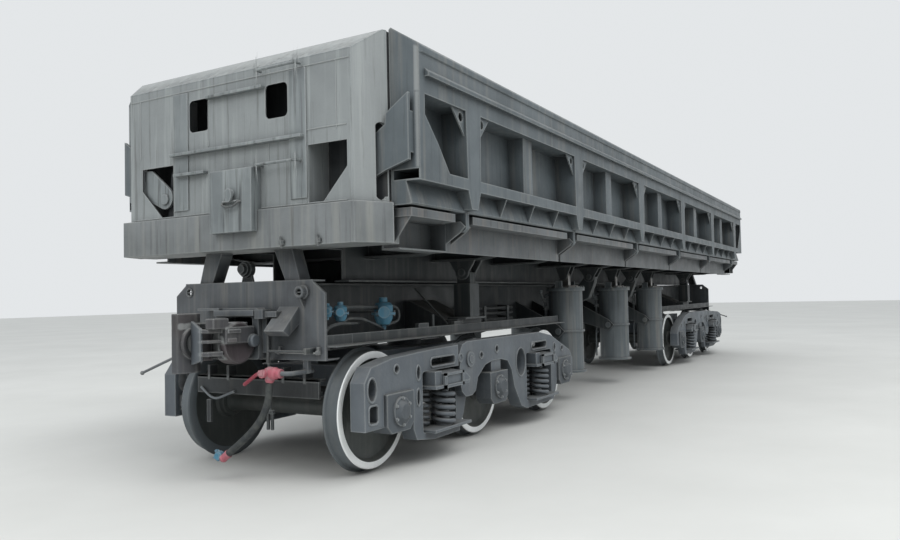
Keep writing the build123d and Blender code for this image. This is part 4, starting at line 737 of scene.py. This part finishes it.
def end_beam_fittings(end):
    """Draw ring's bar, striker's ribs, rod eyes, the lever on the far side and the hanging fork."""
    shape = Shape(f"end_beam_fittings_{end}", beam_enamel, ENDS[end])
    face = -END_X
    ring_y, ring_z = -0.606, 1.448
    hole_y, hole_z = 0.64, 1.468
    for x, y, z, size, bar in ((face - 0.06, ring_y, ring_z, 0.037, 0.011),
                               (face - 0.004, hole_y, hole_z, 0.034, 0.008)):
        shape.tube([(x, a, b) for a, b in around(y, z, size, size, 12)], bar, steps=8, closed=True)
    shape.lathe([(0, 0.056), (0.02, 0.056), (0.026, 0.048)], (face, ring_y, ring_z), (-1, 0, 0))
    # Bars across both rings; the striker's lip, stiffener, upright and ledge; the lever's stop
    shape.boxes([
        ((face - 0.052, face - 0.044), (ring_y - 0.03, ring_y + 0.03), (ring_z - 0.004, ring_z + 0.004)),
        ((face - 0.003, face + 0.01), (hole_y - 0.03, hole_y + 0.03), (hole_z - 0.004, hole_z + 0.004)),
        ((face - 0.1, face), (-0.412, -0.19), (1.262, 1.306)),
        ((face - 0.128, face - 0.03), (-0.3, -0.215), (1.25, 1.322)),
        ((face - 0.05, face), (-0.268, -0.222), (0.985, 1.264)),
        ((face - 0.118, face), (0.18, 0.42), (1.316, 1.336)),
        ((face - 0.075, face), (0.62, 0.66), (0.94, 1.0))])
    # Eyes of the uncoupling rod and the thin rod under it
    for y in (-0.373, -0.753):
        shape.box((face - 0.03, face), (y - 0.01, y + 0.01), (0.975, 1.034))
        shape.lathe([(0, 0.017), (0.024, 0.017)], (face - 0.03, y - 0.012, 0.99), (0, 1, 0), 12)
    rod_x = face - 0.03
    shape.tube([(rod_x, -0.3, 1.0), (rod_x, -0.34, 0.988), (rod_x, -0.762, 0.988)], 0.007, pale_rod, 8)
    # Lever of the uncoupling rod on the far side, with its knob
    lever_x = face - 0.06
    shape.tube([(lever_x, 0.6, 0.985), (lever_x, 0.8, 0.916), (lever_x, 1.17, 0.786)], 0.012)
    shape.lathe([(0, 0), (0.004, 0.014), (0.016, 0.02), (0.028, 0.014), (0.032, 0)], (lever_x, 1.16, 0.79),
                (0, 0.94, -0.34), 12, closed=False)
    # Hanging fork that holds a hose when it is not coupled
    fork_x, fork_y = face - 0.06, -0.298
    shape.rod((fork_x, fork_y, 0.905), (fork_x, fork_y - 0.008, 0.54), 0.013, shaded_frame_enamel, 10)
    shape.boxes([((fork_x - 0.012, face + 0.02), (fork_y - 0.02, fork_y + 0.02), (0.9, 0.932)),
                 ((fork_x - 0.015, fork_x + 0.015), (fork_y - 0.04, fork_y + 0.03), (0.52, 0.548)),
                 ((fork_x - 0.01, fork_x + 0.01), (fork_y - 0.036, fork_y - 0.016), (0.395, 0.522)),
                 ((fork_x - 0.01, fork_x + 0.01), (fork_y + 0.006, fork_y + 0.026), (0.395, 0.522))],
                shaded_frame_enamel)
    settle(shape.made(0.002), "underframe", "fitting_iron")


def end_cock(end):
    """Angle cock with its handle, on its pipe below the end beam."""
    shape = Shape(f"end_cock_{end}_cast", red_enamel, ENDS[end])
    x, y, z = -7.21, -0.41, 0.843
    shape.tube([(PIPE_END_X, -0.6, z), (x, -0.6, z), (x, y - 0.05, z)], 0.018, beam_enamel, 12)
    shape.lathe([(0, 0), (0, 0.034), (0.03, 0.036), (0.04, 0.03), (0.055, 0.046), (0.12, 0.048),
                 (0.15, 0.04), (0.162, 0)], (x, y - 0.115, z), (0, 1, 0), 20, closed=False)
    shape.lathe([(0, 0), (0, 0.026), (0.02, 0.03), (0.052, 0.036), (0.1, 0.036), (0.116, 0.028),
                 (0.122, 0)], (x, y - 0.01, z + 0.045), (0, 0.15, -1), 18, closed=False)
    shape.lathe([(0, 0.03), (0.012, 0.032), (0.04, 0.032), (0.044, 0.026)], (x - 0.04, y + 0.015, z),
                (-1, 0, 0), 16)
    handle = [(x - 0.078, y + 0.015, z + 0.012), (x - 0.08, y + 0.06, z - 0.004),
              (x - 0.078, y + 0.19, z - 0.086)]
    shape.tube(handle, 0.015, dark_red_enamel, 8)
    shape.box((x - 0.092, x - 0.066), (y - 0.005, y + 0.035), (z - 0.012, z + 0.028))
    shape.box((-END_X + 0.01, -END_X + 0.05), (-0.625, -0.575), (z - 0.01, 0.93), beam_enamel)
    settle(shape.made(0.003), "underframe", "fitting_iron", *(["end_cocks"] if end == "front" else []))


PIPE_END_X = -END_X + 0.095

# The air hose's route from the end cock to its coupling head, as in the part
HOSE_ROUTE = [(-7.21, -0.4, 0.768), (-7.21, -0.4, 0.672), (-7.218, -0.367, 0.557), (-7.23, -0.294, 0.449),
              (-7.241, -0.2, 0.359), (-7.249, -0.098, 0.279), (-7.254, 0.007, 0.203)]
HOSE_R = 0.027


def hose_coupling(end):
    """Coupling head on the hose's free end: clamped sleeve, round chamber, gasket face and the claw."""
    shape = Shape(f"hose_coupling_{end}_cast", blue_enamel, ENDS[end])
    start = Vector(HOSE_ROUTE[-1])
    ahead = (start - Vector(HOSE_ROUTE[-2])).normalized()
    shape.lathe([(-0.03, 0.029), (-0.03, 0.032), (-0.018, 0.034), (-0.014, 0.03), (0.03, 0.03),
                 (0.034, 0.034), (0.046, 0.034), (0.05, 0.026), (0.062, 0.024), (0.062, 0)], start, ahead, 18,
                red_enamel, closed=False)
    # The head turns up and away after the sleeve
    turned = Vector((0, 0.9, 0.44))
    middle = start + ahead * 0.045 + turned * 0.04
    shape.lathe([(-0.026, 0.03), (-0.018, 0.038), (0.018, 0.038), (0.024, 0.03), (0.03, 0.03)], middle,
                (-1, 0, 0), 22)
    across = Vector((0, turned.z, -turned.y))
    for lift, long in ((0.026, 0.036), (-0.028, 0.03)):
        a = middle - across * lift
        shape.tube([a, a + turned * long, a + turned * long + Vector((-0.022, 0, 0))], 0.012, steps=8)
    shape.tube([middle + across * 0.02, middle + across * 0.045 + turned * 0.03], 0.01, red_enamel, 8)
    return settle(shape.made(0.002), "underframe", "fitting_iron", f"hose_head_{end}")


def brake_hose(end):
    """Air hose hanging from the end cock, stiff with its plies of cloth."""
    curve = bpy.data.curves.new(f"brake_hose_{end}_moulded", "CURVE")
    curve.dimensions = "3D"
    curve.bevel_depth = HOSE_R
    curve.bevel_resolution = 6
    curve.use_fill_caps = True
    curve.resolution_u = 10
    spline = curve.splines.new("NURBS")
    spline.points.add(len(HOSE_ROUTE) - 1)
    for point, place in zip(spline.points, HOSE_ROUTE):
        point.co = (*(ENDS[end] @ Vector(place)), 1)
    spline.order_u = 3
    spline.use_endpoint_u = True
    curve.materials.append(hose_rubber)
    hose = put_in(f"brake_hose_{end}_moulded", curve)
    settle(hose, "underframe", "hose_rubber", f"brake_hose_{end}")
    hose_coupling(end)

def angle_ends(end):
    """The long side angles carried on to the end plate, and the brake beam before the first wheels."""
    shape = Shape(f"angle_ends_{end}", shaded_frame_enamel, ENDS[end])
    along = (-END_X + 0.02, -6.705)
    shape.boxes(both_sides(along, (0.793, 0.805), (1.028, 1.118)))
    shape.boxes(both_sides(along, (0.793, 0.895), (1.028, 1.04)))
    settle(shape.made(0.002), "underframe", "frame_paint")
    beam = Shape(f"brake_beam_{end}", brake_enamel, ENDS[end])
    beam.boxes([((-6.948, -6.925), (-0.66, 0.66), (0.625, 0.775)),
                ((-6.948, -6.86), (-0.66, 0.66), (0.755, 0.775)),
                ((-6.972, -6.95), (0.485, 0.53), (0.385, 0.575))])
    beam.boxes([((-6.955, -6.86), (y - 0.012, y + 0.012), (0.74, 0.86)) for y in (-0.52, -0.3, 0.3, 0.52)])
    strap = [(-6.965, 0.6, 0.673), (-6.965, 0.453, 0.568), (-6.965, 0.213, 0.652)]
    beam.tube(strap, 0.011, casting_enamel, 8)
    settle(beam.made(0.002), f"bogie_{end}", "brake_iron")


def pivot_drum(end):
    """Stepped drum on its stool on an end beam, under the body's band."""
    shape = Shape(f"pivot_drum_{end}", shaded_frame_enamel, ENDS[end])
    y, z = 0.1, 1.649
    shape.lathe([(0, 0.07), (0.05, 0.07), (0.05, 0.055), (0.075, 0.055), (0.075, 0.038), (0.1, 0.038)],
                (-6.895, y, z), (-1, 0, 0), 32)
    shape.prism([(y - 0.07, 1.524), (y + 0.07, 1.524), (y + 0.035, z), (y - 0.035, z)], "x", -6.92, -6.9)
    settle(shape.made(0.002), "underframe", "frame_paint")


for end in ENDS:
    coupler(end)
    end_beam_fittings(end)
    end_cock(end)
    brake_hose(end)
    angle_ends(end)
for end in ENDS:
    pivot_drum(end)


# Body

def end_wall_details(end):
    """Weld seams of the end wall's plates, the latches on its band and the rounded ends of its slots."""
    shape = Shape(f"end_wall_seams_{end}", end_enamel, ENDS[end])
    seam = 0.006
    for y, low, high in ((0.647, 2.095, 3.12), (0.238, 2.64, 3.01), (-0.406, 2.42, 2.588),
                         (-0.768, 2.095, 3.12), (-1.06, 2.62, 3.12), (1.06, 2.62, 3.12)):
        middle = (-WALL_X, y + 0.003, (low + high) / 2)
        shape.tube([(-WALL_X, y, low), middle, (-WALL_X, y, high)], seam, steps=6)
    for z, low, high in ((3.118, -1.18, 1.18), (2.64, -1.15, -0.76), (2.095, -1.15, 1.15)):
        middle = (-WALL_X, (low + high) / 2, z + 0.003)
        shape.tube([(-WALL_X, low, z), middle, (-WALL_X, high, z)], seam, steps=6)
    for y in (-0.576, -0.925):
        shape.box((-BAND_FACE - 0.024, -BAND_FACE), (y - 0.022, y + 0.022), (1.8, 1.832), shaded_frame_enamel)
        bolt_x = -BAND_FACE - 0.018
        shape.rod((bolt_x, y, 1.776), (bolt_x, y + 0.012, 1.862), 0.008, shaded_frame_enamel, 10)
    slot_ends(shape)
    settle(shape.made(), "dump_body", "end_paint")


def slot_ends(shape):
    """Plates that round off both ends of the slots in the wall's corners, flush with its slanted sides."""
    low_x, high_x, low, high = -7.03, -6.942, 2.098, 2.668
    radius = (high_x - low_x) / 2
    face_half, proud = 1.192, 0.001
    slant = (WALL_BACK_Y - face_half) / (WALL_X - WALL_BACK_X)
    for side in (-1, 1):
        for base, up in ((low, 1), (high, -1)):
            arc = around(low_x + radius, base + up * radius, -radius, -up * radius, 13, 0, 15)
            outline = arc + [(high_x, base - up * 0.004), (low_x, base - up * 0.004)]
            outer = [(x, side * (face_half + proud + (x + WALL_X) * slant), z) for x, z in outline]
            shape.between(outer, [(x, y - side * 0.03, z) for x, y, z in outer])


def gear_in_wall(end):
    """Webs inside the end wall by its openings, the rounded lever of the board gear, its knob and bracket."""
    shape = Shape(f"gear_in_wall_{end}", end_enamel, ENDS[end])
    inside = (-WALL_X + 0.008, -WALL_BACK_X - 0.008)
    shape.boxes([(inside, (y, y + 0.01), (2.092, 3.1)) for y in (-0.79, 0.636)])
    # Lever with a round end that swings behind the opening on the far side
    eye_y, eye_z, eye_r, lever_x = 0.8, 2.27, 0.095, -7.158
    eye = around(eye_y, eye_z, eye_r, eye_r, 10, 128, 165 / 9)
    shape.prism([(1.052, 2.52), (0.955, 2.515), *eye, (1.052, 2.285)], "x", lever_x, lever_x + 0.022)
    shape.lathe([(0, 0.046), (0.014, 0.046), (0.018, 0.04)], (lever_x, eye_y - 0.01, eye_z - 0.014),
                (-1, 0, 0))
    # Oval knob on the gear's cover, and the bent bracket under it
    shape.prism(around(-0.135, 2.195, 0.034, 0.054, 24), "x", -7.352, -7.33)
    shape.tube([(-COVER_X, -0.03, 2.14), (-7.325, -0.04, 2.132), (-7.332, -0.085, 2.108),
                (-7.332, -0.165, 2.108), (-7.325, -0.208, 2.138), (-COVER_X, -0.214, 2.15)], 0.009,
               shaded_frame_enamel, 8)
    # Bars on the wall's inner face that close the joint to the side boards, in near-black painted shade
    corner = (-WALL_BACK_X - 0.002, -WALL_BACK_X + 0.035)
    shape.boxes(both_sides(corner, (1.285, 1.336), (2.1, 3.345)), near_black_shade_paint)
    settle(shape.made(0.003), "dump_body", "gear_paint")


for end in ENDS:
    end_wall_details(end)
    gear_in_wall(end)


# Air gear under the body

def cylinder_pipes(side):
    """Air pipe down the inner flank of each barrel, with its couplings and elbow, and the flange's bolts."""
    shape = Shape(f"cylinder_pipes_{side}", cylinder_enamel, SIDES[side])
    seeds, bolt_r = [], BARREL_R + 0.0155
    for x in CYLINDER_X:
        pipe_x, wall, out = x - 0.1, -CYLINDER_Y + 0.17, -CYLINDER_Y + 0.245
        shape.tube([(pipe_x, wall, 1.385), (pipe_x, out, 1.385), (pipe_x, out, 0.965),
                    (pipe_x, wall, 0.965)], 0.019, steps=12)
        for z in (1.18, 1.29):
            shape.lathe([(0, 0.036), (0.014, 0.038), (0.018, 0.024), (0.03, 0.024), (0.034, 0.038),
                         (0.048, 0.036)], (pipe_x, out, z), (0, 0, 1), 14)
        shape.tube([(pipe_x, out, 1.3), (pipe_x - 0.075, out + 0.01, 1.345),
                    (pipe_x - 0.105, out + 0.015, 1.43)], 0.014)
        shape.lathe([(0, 0.024), (0.03, 0.024)], (pipe_x - 0.105, out + 0.015, 1.415), (0, 0, 1), 12)
        shape.tube([(pipe_x - 0.03, wall - 0.05, 0.93), (pipe_x - 0.06, out - 0.01, 0.86),
                    (pipe_x - 0.06, out - 0.01, 0.43)], 0.012)
        seeds += [SIDES[side] @ Vector((a, -b, FLANGE_TOP + 0.003))
                  for a, b in around(x, CYLINDER_Y, bolt_r, bolt_r, 16, 11.25)]
    bolts = grow(f"flange_bolts_{side}", seeds, bolts_tree, cylinder_enamel, {"Across": 0.022, "Tall": 0.016},
                 [(0, 0, 1)] * len(seeds))
    for piece in (shape.made(), bolts):
        settle(piece, f"barrels_{side}", "cylinder_paint")


def valve(shape, x, y, z, size):
    """Distributing valve: cast chamber with its flange, cap, side port and drain, in blue enamel."""
    chamber = [(-0.165, 0.0), (-0.165, 0.022), (-0.125, 0.024), (-0.115, 0.06), (-0.06, 0.085),
               (-0.028, 0.088), (-0.026, 0.112), (-0.004, 0.112), (-0.002, 0.09), (0.06, 0.088),
               (0.086, 0.066), (0.09, 0.04), (0.135, 0.038), (0.14, 0.0)]
    port = [(0, 0), (0, 0.045), (0.15, 0.045), (0.16, 0.055), (0.19, 0.055), (0.19, 0)]
    for profile, axis, steps in ((chamber, (0, 0, 1), 24), (port, (-0.8, -0.6, 0), 16)):
        scaled = [(a * size, r * size) for a, r in profile]
        shape.lathe(scaled, (x, y, z), axis, steps, blue_enamel, closed=False)
    for a, b in around(x, y, 0.1 * size, 0.1 * size, 6):
        shape.rod((a, b, z - 0.04 * size), (a, b, z + 0.014 * size), 0.01 * size, steps=6)
    shape.box((x - 0.05, x + 0.05), (y, -SILL_HALF), (z - 0.012, z + 0.012))


def brake_valves():
    """Valves and bent pipes of the air brake between the end beam and the front bogie, on the near side."""
    shape = Shape("brake_valves_cast", shaded_frame_enamel)
    y = -0.7
    for x, z, size in ((-6.13, 1.27, 0.92), (-6.72, 1.285, 0.6), (-6.88, 1.3, 0.42)):
        valve(shape, x, y, z, size)
    for radius, points in (
            (0.017, [(-6.68, y, 1.32), (-6.45, y, 1.32), (-6.23, y, 1.31)]),
            (0.014, [(-6.7, y, 1.2), (-6.67, y - 0.03, 1.232), (-6.49, y - 0.03, 1.228),
                     (-6.22, y - 0.02, 1.15), (-6.13, y, 1.11)]),
            (0.014, [(-7.0, y - 0.03, 1.08), (-6.92, y - 0.03, 1.17), (-6.79, y - 0.03, 1.196),
                     (-6.45, y, 1.19), (-6.3, y + 0.2, 1.19)]),
            (0.013, [(-6.07, y, 1.33), (-5.93, y - 0.02, 1.3), (-5.92, y - 0.02, 1.19),
                     (-6.06, y, 1.16)])):
        shape.tube(points, radius)
    # Three pipes along the sill between the bogies, and the brackets that hold them
    for z in (1.24, 1.18, 1.11):
        shape.tube([(-3.96, -SILL_HALF, z + 0.02), (-3.94, -0.4, z), (-2.86, -0.4, z),
                    (-2.84, -SILL_HALF, z + 0.02)], 0.017)
    for x in (-3.7, -3.1):
        across = (x - 0.025, x + 0.025)
        shape.box(across, (-0.425, -SILL_HALF), (1.075, 1.088))
        shape.box(across, (-0.431, -0.421), (1.075, 1.265))
    shape.rod((-5.0, -0.3, 1.48), (-5.0, -0.68, 1.12), 0.01, steps=8)
    shape.rod((-5.445, -0.78, 1.02), (-5.445, -0.78, 1.225), 0.013, steps=8)
    for x, z in ((-5.64, 1.125), (-4.99, 1.118)):
        shape.box((x - 0.085, x + 0.085), (-0.8, -0.765), (z - 0.02, z + 0.03))
    settle(shape.made(), "underframe", "fitting_iron")


for side in SIDES:
    cylinder_pipes(side)
brake_valves()


# CAD pieces that keep their shape: node, body, record slot, finish and how much their edges are broken
KEPT = [("centre_sill", "underframe", "frame_paint", shaded_frame_enamel, 0.003),
        ("centre_pivots", "underframe", "fitting_iron", casting_enamel, 0.003),
        ("end_rests", "underframe", "frame_paint", beam_enamel, 0.003),
        ("cross_beams", "underframe", "frame_paint", shaded_frame_enamel, 0.004),
        ("side_angles", "underframe", "frame_paint", shaded_frame_enamel, 0.003),
        ("saddle_arms", "underframe", "frame_paint", shaded_frame_enamel, 0.006),
        ("trunnion_brackets", "underframe", "frame_paint", shaded_frame_enamel, 0.003),
        ("uncoupling_rods", "underframe", "fitting_iron", shaded_frame_enamel, 0.002),
        ("air_reservoirs", "underframe", "frame_paint", shaded_frame_enamel, 0.004),
        ("tip_pins", "tip_pin_body", "pin_steel", pin_steel, 0.003),
        ("cross_members", "dump_body", "frame_paint", shaded_frame_enamel, 0.003),
        ("long_beams", "dump_body", "frame_paint", shaded_frame_enamel, 0.003),
        ("floor_edges", "dump_body", "frame_paint", edge_enamel, 0.003),
        ("end_bands", "dump_body", "frame_paint", band_enamel, 0.004),
        ("tip_ears", "dump_body", "frame_paint", shaded_frame_enamel, 0.004),
        ("rod_cheeks", "dump_body", "frame_paint", shaded_frame_enamel, 0.003)]
for end in ENDS:
    KEPT += [(f"side_frames_{end}", f"bogie_{end}", "bogie_casting", casting_enamel, 0.01),
             (f"axle_boxes_{end}", f"bogie_{end}", "box_casting", box_enamel, 0.008),
             (f"bolsters_{end}", f"bogie_{end}", "bogie_casting", casting_enamel, 0.006),
             (f"brake_gear_{end}", f"bogie_{end}", "brake_iron", brake_enamel, 0.003),
             (f"end_beam_{end}", "underframe", "end_paint", beam_enamel, 0.004),
             (f"wall_trim_{end}", "dump_body", "end_paint", end_enamel, 0.003),
             (f"locking_gear_{end}", "dump_body", "gear_paint", end_enamel, 0.005)]
for side in SIDES:
    KEPT += [(f"cylinder_barrels_{side}", f"barrels_{side}", "cylinder_paint", cylinder_enamel, 0.004),
             (f"cylinder_stages_{side}", f"stages_{side}", "rod_steel", ground_steel, 0.003),
             (f"cylinder_rods_{side}", f"rods_{side}", "rod_steel", ground_steel, 0.003)]

# What is cut from the finished copies at the ends, as boxes
nose_x, nose_z = BOGIES[0] + NOSE_BOX[0], RAIL + NOSE_BOX[1]
nose_half, nose_tall = NOSE_BOX[2] / 2, NOSE_BOX[3] / 2
CUT_AWAY = {
    # The box in the nose of each outer casting; its oval window is cut below
    "side_frames": both_sides((nose_x - nose_half, nose_x + nose_half), (0.9, 1.15),
                              (nose_z - nose_tall, nose_z + nose_tall)),
    # The plates that close an end beam's sides, which the real beam leaves open
    "end_beam": both_sides((-END_X + 0.025, -END_X + 0.345), (0.78, 0.815), (0.942, 1.52)),
    # The strip under the bevel, where the real wall is flush
    "wall_trim": [((-WALL_X - 0.02, -WALL_X + 0.002), (-1.2, 1.2), (3.11, 3.185))],
    # The gear's second lever, which the real opening on the near side doesn't show
    "locking_gear": [((-7.15, -7.08), (-1.08, -0.84), (2.08, 2.52))]}


def room_in(piece, end, paint):
    """The forms that are cut from a piece's finished copy."""
    room = Shape(f"{piece}_room_{end}", paint, ENDS[end])
    room.boxes(CUT_AWAY[piece])
    if piece == "side_frames":
        x, z, width, height = NOSE_WINDOW
        for side in (-1, 1):
            oval = around(BOGIES[0] + x, RAIL + z, width / 2, height / 2, 20)
            room.prism(oval, "y", side * 1.15, side * 0.9)
    return room.made()


# How far a face may lie from the back of a wall or board and still be the one that the load scuffs
INNER = 0.004
BOARD_GAP = 0.006
WALL_MIDDLE = Vector((7.06, 0, 2.6))
GEAR_INSIDE = WALL_X - 0.03


def gear_finish(middle, normal):
    """Near-black painted shade on what lies inside the hollow wall, enamel outside."""
    return near_black_shade_paint if abs(middle.x) < GEAR_INSIDE else end_enamel


def wall_finish(middle, normal):
    """Scuffed steel toward the load, near-black painted shade inside the hollow wall, enamel outside."""
    if abs(middle.x) < WALL_BACK_X + INNER and abs(normal.x) > 0.7:
        return worn_plate
    out = Vector((abs(middle.x), middle.y, middle.z)) - WALL_MIDDLE
    facing = Vector((normal.x if middle.x > 0 else -normal.x, normal.y, normal.z))
    return near_black_shade_paint if facing.dot(out) < 0 and abs(middle.x) < WALL_X - INNER else end_enamel


def board_finish(middle, normal):
    """Scuffed steel toward the load, enamel outside."""
    inner = abs(middle.y) < WALL_BACK_Y + BOARD_GAP + INNER and abs(normal.y) > 0.7
    return worn_plate if inner else shaded_side_enamel


def floor_finish(middle, normal):
    """Scuffed steel on top, enamel below."""
    return worn_plate if normal.z > 0.7 else shaded_frame_enamel


for node, body, slot, material, width in KEPT:
    piece, _, end = node.rpartition("_")
    room = room_in(piece, end, material) if piece in CUT_AWAY else None
    dressed(node, body, slot, material, width, gear_finish if piece == "locking_gear" else None, room)
for end in ENDS:
    dressed(f"end_wall_{end}", "dump_body", "end_paint", end_enamel, 0.004, wall_finish)
for side in SIDES:
    dressed(f"side_board_{side}", f"board_{side}", "side_paint", shaded_side_enamel, 0.004, board_finish)
dressed("floor_plate", "dump_body", "floor_steel", shaded_frame_enamel, 0.002, floor_finish)


# Floor and light

def studio():
    mesh = bpy.data.meshes.new("studio_floor")
    mesh.from_pydata([(-80, -80, 0), (80, -80, 0), (80, 80, 0), (-80, 80, 0)], [], [(0, 1, 2, 3)])
    floor = put_in("studio_floor", mesh)
    # Matt paper, a little uneven in tone.
    material, tree, shader, coords = finish_material("matt_paper_floor", 0.9)
    laid_over(tree, shader, "c6c6c2", [(mottling(tree, coords, 2500, 0.3, 0.7), "cfcfcb")])
    mesh.materials.append(material)
    world = bpy.data.worlds.new("studio_sky")
    scene.world = world
    world.use_nodes = True
    tree = world.node_tree
    tree.nodes.clear()
    # The camera, mirrors and glass see the plain pale background; all else is lit by the sky.
    path = add_node(tree, "ShaderNodeLightPath")
    seen = path.outputs["Is Camera Ray"]
    for other in ("Is Glossy Ray", "Is Transmission Ray"):
        either = add_node(tree, "ShaderNodeMath", {0: seen, 1: path.outputs[other]}, operation="MAXIMUM")
        seen = either.outputs[0]
    # An overcast sky: bright overhead and dim near the horizon.
    coords = add_node(tree, "ShaderNodeTexCoord")
    looking = add_node(tree, "ShaderNodeSeparateXYZ", {"Vector": coords.outputs["Generated"]})
    height = add_node(tree, "ShaderNodeMapRange", {
        "Value": looking.outputs["Z"], "From Min": 0.0, "From Max": 0.8, "To Min": 0.22, "To Max": 1.3})
    lit = add_node(tree, "ShaderNodeBackground", {"Color": linear("eef2f6"), "Strength": height.outputs[0]})
    shown = add_node(tree, "ShaderNodeBackground", {"Color": linear("e9ecee"), "Strength": 0.95})
    both = add_node(tree, "ShaderNodeMixShader", {0: seen, 1: lit.outputs[0], 2: shown.outputs[0]})
    add_node(tree, "ShaderNodeOutputWorld", {"Surface": both.outputs[0]})
    panels = (("sky_panel", (-8, -10, 17), 14, 1700), ("end_panel", (-22, -2, 14), 9, 900))
    for name, place, size, power in panels:
        data = bpy.data.lights.new(name, "AREA")
        data.size = size
        data.energy = power
        lamp = put_in(name, data)
        lamp.location = place
        lamp.rotation_euler = (Vector((0, 0, 1)) - Vector(place)).to_track_quat("-Z", "Y").to_euler()


studio()
scene.view_settings.view_transform = "Standard"
